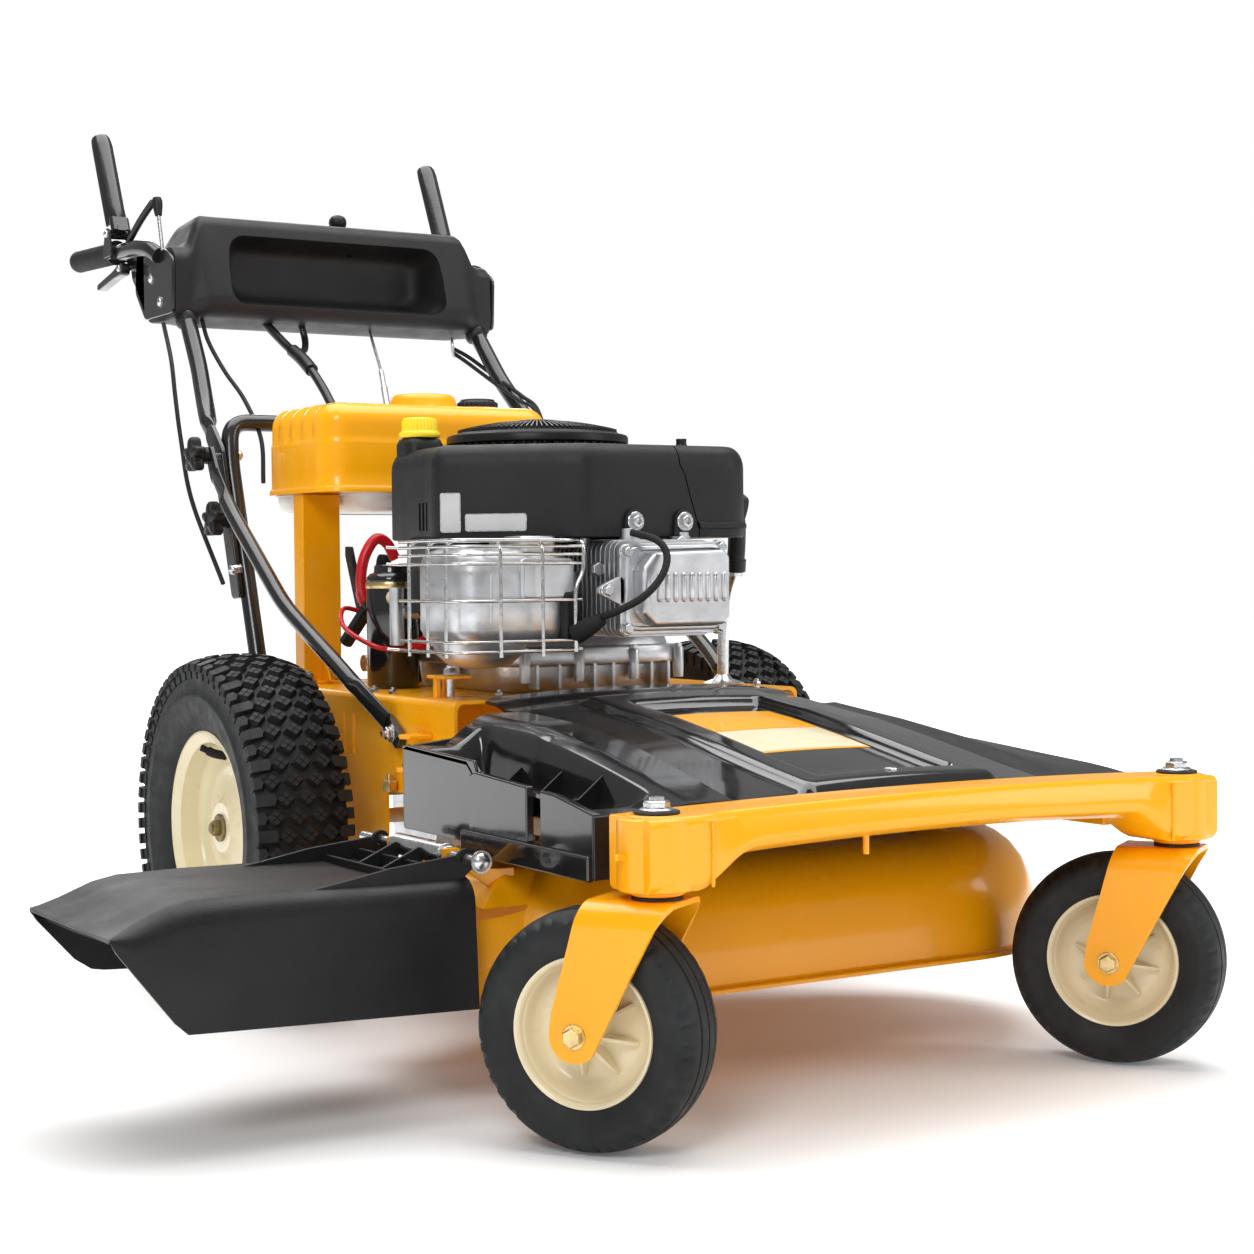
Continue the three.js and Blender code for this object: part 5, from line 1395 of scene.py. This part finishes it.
def build_starter():
    can = lathe([(30, 377), (32, 379), (32, 496), (31, 500)], STARTER, sides=64)
    ring = lathe([(28, 499), (32.4, 499), (32.8, 501), (32.8, 505), (32, 507), (28, 507)], STARTER, sides=64)
    cap = lathe([(31, 506), (31.6, 508), (31, 513), (27, 517), (23, 518), (22, 520), (22, 526), (20, 528)],
                STARTER,
                sides=64)
    piece("starter_can", merge(can, cap), GLOSS, sharp=45, replaces=["starter_motor"])
    piece("starter_ring", ring, BRASS, sharp=45)
    egg_axis = Vector((-10, -30, -3))
    egg = lathe([(0.1, -2), (5, -0.6), (9, 3.4), (10.4, 8), (10.6, 13), (9.6, 19), (7.8, 25), (6, 30),
                 (5, 33)],
                (-168, -62, 489), egg_axis, 40)
    piece("starter_knob", egg, IVORY, sharp=60)
    end = Vector((-168, -62, 489)) + egg_axis.normalized() * 33
    boss = merge(bar(end, end + egg_axis.normalized() * 10, 5),
                 hexagon(end + egg_axis.normalized() * 3, egg_axis, 14, 6),
                 bar((-186, -110, 500), (-186, -110, 430), 9), bar((-180, -110, 470), (-140, -110, 470), 8))
    piece("starter_boss", boss, CAST, edge=0.5)
    sleeve = spline([(-166, 12, 462), (-176, 12, 500), (-172, 12, 535), (-156, 12, 560), (-140, 12, 556),
                     (-128, 12, 536)], 10)
    loop = spline([(-166, 12, 466), (-205, 0, 474), (-226, -45, 452), (-210, -92, 430), (-178, -100, 424),
                   (-158, -103, 428)],
                  10)
    clip = tube(spline([(-171.5, 12, 483), (-173.5, 12, 490), (-175, 12, 496)], 3), 9, 20)
    connector = bar((-160, -103, 428), (-142, -105, 434), 8, 20)
    piece("battery_sleeve", merge(tube(sleeve, 7, 20), clip), RED, sharp=50, replaces=["battery_cable"])
    piece("starter_wire", merge(tube(loop, 3, 14), connector), RED, sharp=50)
    strap = [prism("x", [(20, 470), (28, 470), (60, 540), (60, 552), (50, 552), (20, 484)], -176, -168),
             bar((-190, 30, 430), (-176, -10, 476), 9)]
    piece("starter_strap", merge(*strap), MOULDED, edge=1.5)


def build_engine_links():
    """Breather boot, cable and stay at the engine's left side, and the battery behind it."""
    boot = prism("x", rounded([(-320, 604), (-302, 613), (-296, 576), (-306, 572), (-316, 590)], 6, 4), 150,
                 190)
    hose = [tube(spline([(176, -306, 590), (184, -300, 574), (188, -294, 552), (189, -290, 528)], 6), 11,
                 24),
            bar((189, -290, 531), (190, -287, 516), 13, 24)]
    piece("breather_boot", merge(boot, *hose), MOULDED, edge=0.8, sharp=45)
    stay = route([(190, -258, 378), (190, -260, 440), (190, -268, 486), (190, -286, 518)], 30)
    foot = lathe([(6, 0), (26, 0), (26, 2), (12, 7), (8, 12), (6, 13)], (190, -258, 375.5), sides=40)
    piece("engine_stay", merge(tube(stay, 7, 24), foot, bar((190, -286, 510), (190, -287, 524), 9)), STEEL,
          sharp=45)
    case = moulded("z", dense(pill(-95, 66, 55, 140, 4, 3), 20),
                   [(2, 375.4), (0, 378), (0, 482), (-2, 483), (-2, 502), (0, 505)])
    posts = [bar((x, 84, 504), (x, 84, 514), 8) for x in (-74, 34)]
    piece("battery_case", merge(case, *posts), MOULDED, edge=1.2, replaces=["battery"])


def finish_running_gear():
    for name, material in (("crankshaft", STEEL), ("transaxle", CAST), ("drive_belt", RUBBER),
                           ("deck_belt", RUBBER)):
        keep_node(name, material)
    for word, side in SIDES.items():
        x = side * SPINDLE_X
        shaft = bar((x, SPINDLE_Y, 112), (x, SPINDLE_Y, 278), 12.5, 40)
        disc = lathe([(12, 118.4), (24, 118.4), (24, 121), (20, 132), (12, 132)], (x, SPINDLE_Y, 0),
                     sides=48)
        foot = hexagon((x, SPINDLE_Y, 118), (0, 0, -1), 24, 10)
        groove = lathe([(13, 250), (59, 250), (60, 252), (60, 254), (50, 258.5), (50, 265.5), (60, 270),
                        (60, 272), (59, 274),
                        (13, 274)], (x, SPINDLE_Y, 0), sides=64, closed=True)
        piece(f"blade_shaft_{word}", merge(shaft, disc, foot, groove), STEEL, f"blade_{word}", sharp=40,
              replaces=[f"blade_{word}"])
        rings = []
        for u in (-177, -120, -96, -60, -24, 24, 60, 96, 120, 177):
            lift = 13 * smoothstep((abs(u) - 100) / 50)
            way = 1 if u > 0 else -1
            edge = 3.4 if abs(u) > 60 else 0
            rings.append([Vector((x + u, SPINDLE_Y + way * w, z)) for w, z in
                          ((-26, 118.4), (-26, 121.4), (-10, 121.6), (26, 121.6 + lift), (26, 118.6 + lift),
                           (-10, 118.4),
                           (-20, 118.4 - edge * 0.02))])
        piece(f"blade_bar_{word}", loft(rings), STEEL, f"blade_{word}", edge=0.4)


build_tank()
build_shroud()
build_screen()
build_crankcase()
build_valve_cover()
build_muffler()
build_guard()
build_starter()
build_engine_links()
finish_running_gear()

# ------------------------------------------------------------------ handlebar
LEG_X = 248.5
HANDLE_X = 264
KNOBS = {"upper": (262, 676), "lower": (234, 590)}
TUBE_PATH = [(262, 300, 714), (250, 345, 748), (238, 398, 806), (231, 459, 880), (231, 470, 905)]


def knob_shape(side, y, z, reach):
    """A five-lobed hand knob on its hub and carriage bolt."""
    def lobes(index, angle):
        return (5.2 if 1 <= index <= 6 else 0) * math.cos(5 * angle)

    at = (side * reach, y, z)
    head = lathe([(12, 9), (17, 9.4), (19, 11.4), (19.4, 14), (19.4, 20), (18.6, 23), (15.5, 25.4), (9, 26),
                  (8, 24), (0.1, 24)],
                 at, (side, 0, 0), 120, wobble=lobes)
    hub = lathe([(11.6, 0.4), (11, 4), (11, 10)], at, (side, 0, 0), 48)
    return merge(head, hub)


def build_handlebar():
    lower = route([(-LEG_X, 130, 268), (-LEG_X, 262, 672), (-242.5, 276, 722), (242.5, 276, 722),
                   (LEG_X, 262, 672),
                   (LEG_X, 130, 268)], 42, 12)
    piece("lower_bar", tube(lower, 11.5, 28), TUBE, sharp=60, replaces=["lower_handle"])
    for word, side in SIDES.items():
        path = route([(side * HANDLE_X, 262, 676), *[(side * x, y, z) for x, y, z in TUBE_PATH]], 18, 8)

        def flat(t):
            """The tube's end is pressed flat where the knobs clamp it."""
            open_up = smoothstep((t - 0.08) / 0.2)
            return 0.27 + 0.73 * open_up, 1.36 - 0.36 * open_up

        upper = tube(path, 12, 28, squash=flat, first=(1, 0, 0))
        strap = rounded([(217, 484), (276, 668), (306, 704), (288, 724), (247, 686), (190, 488)], 10, 4)
        piece(f"upper_bar_{word}", upper, TUBE, sharp=60, replaces=[f"upper_tube_{word}"])
        piece(f"upper_bar_strap_{word}", slab(strap, side, HANDLE_X - 3.2, HANDLE_X + 3.2), TUBE, edge=1.6,
              rounds=3)
        stay = route([(side * 280, 236, 650), (side * 280, 187, 603), (side * 280, 12, 478),
                      (side * 266, -130, 400),
                      (side * 247, -205, 345)], 30, 9)

        def ends(t):
            near = max(smoothstep((0.1 - t) / 0.08), smoothstep((t - 0.93) / 0.06))
            return 1 - 0.68 * near, 1 + 0.3 * near

        piece(f"stay_bar_{word}", tube(stay, 10, 28, squash=ends, first=(1, 0, 0)), TUBE, sharp=60,
              replaces=[f"brace_{word}"])
        top = rounded([(252, 690), (272, 684), (250, 640), (222, 628), (228, 650)], 7, 4)
        foot = rounded([(-196, 356), (-186, 342), (-226, 312), (-238, 330)], 8, 4)
        piece(f"stay_plates_{word}", merge(slab(top, side, 275, 281), slab(foot, side, 236, 246)), TUBE,
              edge=1.4,
              rounds=3)
        piece(f"stay_bolt_{word}", washer_bolt((side * 246, -214, 332), (side, 0, 0), 12, 11, 6, 5), STEEL,
              edge=0.5)
        for name, (y, z) in KNOBS.items():
            reach = 281.3 if name == "upper" else 267.5
            body = f"star_knob_{word}_{name}"
            piece(f"lobed_knob_{word}_{name}", knob_shape(side, y, z, reach), MOULDED, body, sharp=50,
                  replaces=[body])
            screw = bar((side * 258.5, y, z), (side * (reach + 2), y, z), 3.9)
            piece(f"knob_screw_{word}_{name}", screw, STEEL, body, sharp=50)
        tail = merge(dome((side * 236, 262, 676), (-side, 0, 0), 8, 5),
                     bar((side * 258, 262, 676), (side * 236, 262, 676), 4))
        piece(f"carriage_bolt_{word}", tail, STEEL, sharp=50)
        piece(f"acorn_nut_{word}", merge(dome((side * 268, 205, 524), (side, 0, 0), 7, 8),
                                         hexagon((side * 259, 205, 524), (side, 0, 0), 13, 8)), STEEL,
              edge=0.4)


# ------------------------------------------------------------------ console
KEY_X = 90
SHIFT = (40, 540, 975)
THROTTLE = (-150, 575, 985)
PLATE_IN, PLATE_OUT = 252.4, 257
CONSOLE_FULL = [(442, 884), (430, 905), (462, 1022), (480, 1031), (560, 1024), (600, 1004), (604, 930),
                (560, 880), (500, 872)]
CONSOLE_END = [(454, 880), (448, 900), (449, 968), (468, 983), (560, 979), (592, 973), (600, 930),
               (560, 882), (500, 877)]


def console_shape():
    """A loft across the machine: a tall middle, sloping shoulders and low end blocks."""
    full, end = rounded(CONSOLE_FULL, 13, 5), rounded(CONSOLE_END, 10, 5)
    middle_y, middle_z = 520, 930
    stations = [(252, 0, 0.965), (250.8, 0, 0.99), (248, 0, 1), (236, 0, 1), (230, 0.05, 1), (224, 0.2, 1),
                (214, 0.72, 1),
                (208, 0.93, 1), (202, 1, 1), (190, 1, 1)]
    stations = [*stations, *[(-x, rise, size) for x, rise, size in reversed(stations)]]
    rings = []
    for x, rise, size in stations:
        ring = []
        for (ya, za), (yb, zb) in zip(end, full):
            y, z = ya + (yb - ya) * rise, za + (zb - za) * rise
            ring.append(Vector((x, middle_y + (y - middle_y) * size, middle_z + (z - middle_z) * size)))
        rings.append(ring)
    return loft(rings)


def tray_cutter():
    """The rounded tray that faces the front of the machine, deepest in its middle."""
    rings = []
    for y, inset, corner in ((400, -3, 26), (446, 0, 24), (452, 3, 24), (470, 7, 24), (492, 12, 26),
                             (502, 17, 26), (508, 24, 22),
                             (511, 32, 16)):
        outline = pill(-172 + inset, 902 + inset * 0.9, 168 - inset, 1006 - inset * 0.8, corner, 8)
        rings.append([Vector((x, y, z)) for x, z in outline])
    return loft(rings)


def build_console():
    inside = prism("x", [(520, 860), (556, 860), (556, 884), (596, 932), (592, 990), (520, 1004)], -190, 190)
    cutters = [tray_cutter(), inside, box(SHIFT[0] - 6, 500, 990, SHIFT[0] + 6, 580, 1060),
               box(THROTTLE[0] - 6, 544, 970, THROTTLE[0] + 6, 608, 1060),
               bar((KEY_X, 588, 960), (KEY_X, 640, 960), 8.4),
               bar((-KEY_X, 588, 960), (-KEY_X, 640, 960), 8.4)]
    piece("console_shell", console_shape(), TEXTURED, edge=1.6, rounds=3, sharp=40, cutters=cutters,
          replaces=["console"])
    panel_lip = prism("y", pill(-130, 928, 130, 992, 8), 599, 603)
    piece("console_panel", panel_lip, MOULDED, edge=1.2, rounds=3,
          cutters=[bar((x, 590, 960), (x, 640, 960), 9) for x in (KEY_X, -KEY_X)])
    for word, side in SIDES.items():
        cheek = rounded([(450, 886), (446, 962), (468, 976), (560, 1000), (590, 990), (600, 930),
                         (560, 886)], 9, 4)
        piece(f"console_cheek_{word}", slab(cheek, side, PLATE_IN, PLATE_OUT), TUBE, edge=1.4, rounds=3)
        screws = [merge(lathe([(3, 0), (8, 0), (8, 1.2), (3, 1.2)], (side * PLATE_OUT, y, z), (side, 0, 0),
                              28),
                        dome((side * 258, y, z), (side, 0, 0), 6, 3.4)) for y, z in ((531, 943), (496, 906))]
        piece(f"cheek_screws_{word}", merge(*screws), STEEL, sharp=45)
        clamp = lathe([(13, 0), (16, 1), (16.6, 10), (15, 14), (12.6, 15)], (side * 231, 462, 884),
                      (0, -0.4, -0.9), 48)
        piece(f"tube_collar_{word}", clamp, MOULDED, sharp=50)


def build_controls():
    x, y, z = SHIFT
    stem = bar((x, y, z - 10), (x, y, z + 64), 4.5, 28)
    knob = lathe([(6, 60), (9.5, 61), (12.4, 65), (13.4, 70), (12.8, 75), (10, 79.4), (5, 81.6), (0.1, 82)],
                 (x, y, z), sides=48)
    piece("gear_knob", merge(stem, knob), MOULDED, "shift_lever", sharp=50, replaces=["shift_lever"])
    x, y, z = THROTTLE
    stem = bar((x, y, z - 8), (x, y, z + 40), 4, 28)
    tab = prism("y", pill(x - 5, z + 38, x + 5, z + 56, 4, 5), y - 12, y + 12)
    piece("throttle_tab", merge(stem, tab), MOULDED, "throttle_lever", edge=1.2, rounds=3,
          replaces=["throttle_lever"])
    at = Vector((KEY_X, 604, 960))
    collar = merge(bar(at + Vector((0, -12, 0)), at + Vector((0, 10, 0)), 7.8, 40),
                   lathe([(8, 9), (12, 9), (12, 12.4), (10.4, 14), (8, 14)], at, (0, 1, 0), 48))
    bow = prism("x", rounded([(at.y + 12, at.z - 5), (at.y + 20, at.z - 11), (at.y + 36, at.z - 11),
                              (at.y + 36, at.z + 11),
                              (at.y + 20, at.z + 11), (at.y + 12, at.z + 5)], 4, 4), at.x - 1.6, at.x + 1.6)
    piece("key_barrel", collar, STEEL, "ignition_key", sharp=45, replaces=["ignition_key"])
    piece("key_bow", bow, STEEL, "ignition_key", edge=0.6)
    at = Vector((-KEY_X, 604, 960))
    pull = merge(bar(at + Vector((0, -12, 0)), at + Vector((0, 18, 0)), 6, 40),
                 lathe([(6, 16), (10, 16.6), (13.6, 19), (14, 22), (13, 25.4), (9, 27), (0.1, 27)], at,
                       (0, 1, 0), 48))
    piece("choke_pull_knob", pull, MOULDED, "choke_knob", sharp=50, replaces=["choke_knob"])
    at = Vector((-140, 66, 402))
    stem = bar(at, at + Vector((10, -14, 100)), 5, 28)
    grip_axis = Vector((5, -7, 46))
    grip = lathe([(6, 0), (9, 1), (9.6, 5), (8.8, 20), (9.6, 36), (9.2, 42), (7, 45.6), (0.1, 46.6)],
                 at + Vector((9, -13, 94)),
                 grip_axis, 48)
    hub = bar(at + Vector((-9, 0, 0)), at + Vector((9, 0, 0)), 11, 40)
    piece("height_lever_bar", merge(stem, hub), STEEL, "height_lever", edge=0.8, replaces=["height_lever"])
    piece("height_lever_grip", grip, RUBBER, "height_lever", sharp=50)


# ------------------------------------------------------------------ grips, clutch levers and triggers
LEVER = (632, 1018)
TRIGGER = (604, 965)
LEVER_LEAN = 25
GRIP_X = 270


def grip_shape(side):
    """A rubber sleeve with a flange at its front and shallow rings."""
    start = Vector((side * GRIP_X, 636, 992))
    axis = Vector((side * 2, 170, 7))
    profile = [(12.4, 0), (17.6, 0), (18.4, 1.6), (18, 4), (15.8, 6)]
    for k in range(30):
        u = 9 + k * 5
        profile += [(15.7, u), (16.2, u + 1.2), (16.2, u + 3), (15.7, u + 4.2)]
    profile += [(15.9, 163), (16.4, 166), (15, 169.4), (11, 170.4), (0.1, 170.4)]
    return lathe(profile, start, axis, 48)


def lever_shape():
    half = [*arc(0, 0, 16.4, 180, 360, 18), *arc(0, 0, 13.6, 360, 180, 18)]
    rings = []
    for z, grow, shift in ((12, 0.96, 0), (14, 1, 0), (40, 1, 0), (100, 1, 0), (150, 1, 0), (162, 0.95, 0),
                           (168, 0.8, 0)):
        rings.append([Vector((x * grow, 2 + (y - 2) * grow + shift, z)) for x, y in half])
    return loft(rings)


def build_grips():
    for word, side in SIDES.items():
        plate = rounded([(560, 894), (600, 940), (612, 950), (618, 972), (652, 984), (650, 1006),
                         (560, 1004)], 8, 4)
        piece(f"grip_bracket_{word}", slab(plate, side, PLATE_IN, PLATE_OUT), TUBE, edge=1.4, rounds=3)
        core = tube(spline([(side * 256, 500, 972), (side * 262, 520, 983), (side * 267, 560, 989),
                            (side * GRIP_X, 640, 992)], 6),
                    12, 28)
        saddle = box(side * GRIP_X - 16, 620, 981, side * GRIP_X + 16, 636, 1000)
        piece(f"grip_tube_{word}", merge(core, saddle), TUBE, edge=1, sharp=50)
        piece(f"grip_rubber_{word}", grip_shape(side), RUBBER, sharp=60, replaces=[f"grip_{word}"])
        cheeks = []
        for way in (-1, 1):
            outline = rounded([(613, 984), (650, 984), (638, 1026), (622, 1026)], 7, 4)
            cheeks.append(slab(outline, side, GRIP_X + way * 14.5, GRIP_X + way * 18))
        bores = [bar((side * 220, *LEVER), (side * 320, *LEVER), 3.3)]
        piece(f"lever_cheeks_{word}", merge(*cheeks), TUBE, edge=0.8, cutters=bores)
        turn = Matrix.Rotation(math.radians(-LEVER_LEAN), 3, "X")
        shift = Vector((side * GRIP_X, *LEVER))

        def lean(shape):
            return moved(shape, lambda p: turn @ p + shift)

        body = f"clutch_lever_{word}"
        web = prism("z", rounded([(-16, -13), (16, -13), (11, -18), (-11, -18)], 2), -2, 20)
        hub = merge(bar((-13.6, 0, 0), (13.6, 0, 0), 7, 32), web, box(-6, -19, -4, 6, 0, 5))
        piece(f"clutch_handle_{word}", lean(lever_shape()), TUBE, body, edge=0.9, rounds=3, sharp=50,
              replaces=[body])
        piece(f"clutch_hub_{word}", lean(hub), TUBE, body, edge=0.8)
        pin = merge(bar((-18.6, 0, 0), (18.6, 0, 0), 2.9, 24), dome((18.4, 0, 0), (1, 0, 0), 5.6, 3.4),
                    dome((-18.4, 0, 0), (-1, 0, 0), 5.6, 3.4))
        piece(f"clutch_pin_{word}", lean(pin), STEEL, body, sharp=50)
        blade = rounded([(-8, 8), (8, 7), (36, -1), (100, -12), (104, -18), (98, -22), (32, -12), (-4, -9)],
                        6, 4)
        at = Vector((side * 271, *TRIGGER))
        trigger = prism("x", [(y + at.y, z + at.z) for y, z in blade], at.x - 7, at.x + 7)
        piece(f"trigger_blade_{word}", trigger, TUBE, f"steering_trigger_{word}", edge=2.2, rounds=4,
              replaces=[f"steering_trigger_{word}"], cutters=[bar((side * 200, *TRIGGER),
                                                                  (side * 340, *TRIGGER), 3.3)])
        axle = merge(bar((side * 255, *TRIGGER), (side * 280, *TRIGGER), 2.9, 24),
                     dome((side * 280, *TRIGGER), (side, 0, 0), 5, 3))
        piece(f"trigger_pin_{word}", axle, STEEL, sharp=50)


# ------------------------------------------------------------------ cables and rods
def build_cables():
    rod = spline([(-262, 470, 872), (-288, 372, 812), (-293, 345, 760), (-293, 326, 700), (-292, 292, 618),
                  (-282, 209, 506)], 10)
    piece("near_outer_cable", tube(rod, 3, 14), RUBBER, sharp=60, replaces=["clutch_rod_right"])
    inner = spline([(-208, 462, 880), (-207, 440, 846), (-205, 385, 800), (-203, 320, 756), (-204, 262, 700),
                    (-214, 232, 640)], 8)
    piece("near_inner_cable", tube(inner, 3, 14), RUBBER, sharp=60)
    shift = spline([(-107, 472, 880), (-88, 440, 846), (-82, 402, 825), (-80, 350, 790), (-79, 300, 744),
                    (-79, 262, 690)], 8)
    fork = spline([(-52, 470, 880), (-50, 462, 858), (-62, 440, 840), (-82, 430, 838)], 8)
    sleeve = spline([(-86, 424, 838), (-82, 402, 825), (-80, 372, 806)], 8)
    piece("shift_rod", merge(tube(shift, 6.4, 20), tube(fork, 5, 16), tube(sleeve, 9.6, 20)), SATIN,
          sharp=50)
    thin = [bar((70, 500, 886), (16, 346, 806), 2.2, 16), bar((16, 346, 806), (4, 312, 780), 3.6, 20),
            bar((4, 312, 780), (-12, 268, 746), 4.6, 20)]
    piece("governor_rod", merge(*thin), CAST, sharp=50)
    disc = lathe([(0.1, -2), (15, -2), (17, -1), (17, 1), (15, 2), (0.1, 2)], (196, 470, 858),
                 (1, -0.5, 0.1), 48)
    piece("cable_disc", disc, CAST, sharp=50)
    for number, (dx, dz) in enumerate(((0, 0), (5, 7))):
        far = spline([(198, 470, 850 + dz), (214 + dx, 458, 836 + dz), (228 + dx, 400, 802 + dz),
                      (232 + dx, 330, 770 + dz),
                      (234 + dx, 285, 752), (228, 240, 690), (216, 226, 640)], 8)
        piece(f"far_cable_{number}", tube(far, 3, 14), RUBBER, sharp=60)
    link = bar((-256, 486, 978), (-256, 500, 1030), 2.6, 16)
    piece("clutch_link", link, STEEL, sharp=50)
    rod_end = lathe([(3, 0), (5, 1), (6, 8), (7, 14), (7.4, 22), (6, 27), (0.1, 28)], (-256, 500, 1028),
                    (0, 0.2, 1), 32)
    arm = tube(spline([(-262, 506, 1048), (-266, 540, 1030), (-268, 586, 1006)], 5), 5, 16)
    end = merge(rod_end, bar((-256, 504, 1046), (-264, 508, 1046), 4), arm)
    piece("clutch_link_arm", end, MOULDED, sharp=50)


build_handlebar()
build_console()
build_controls()
build_grips()
build_cables()
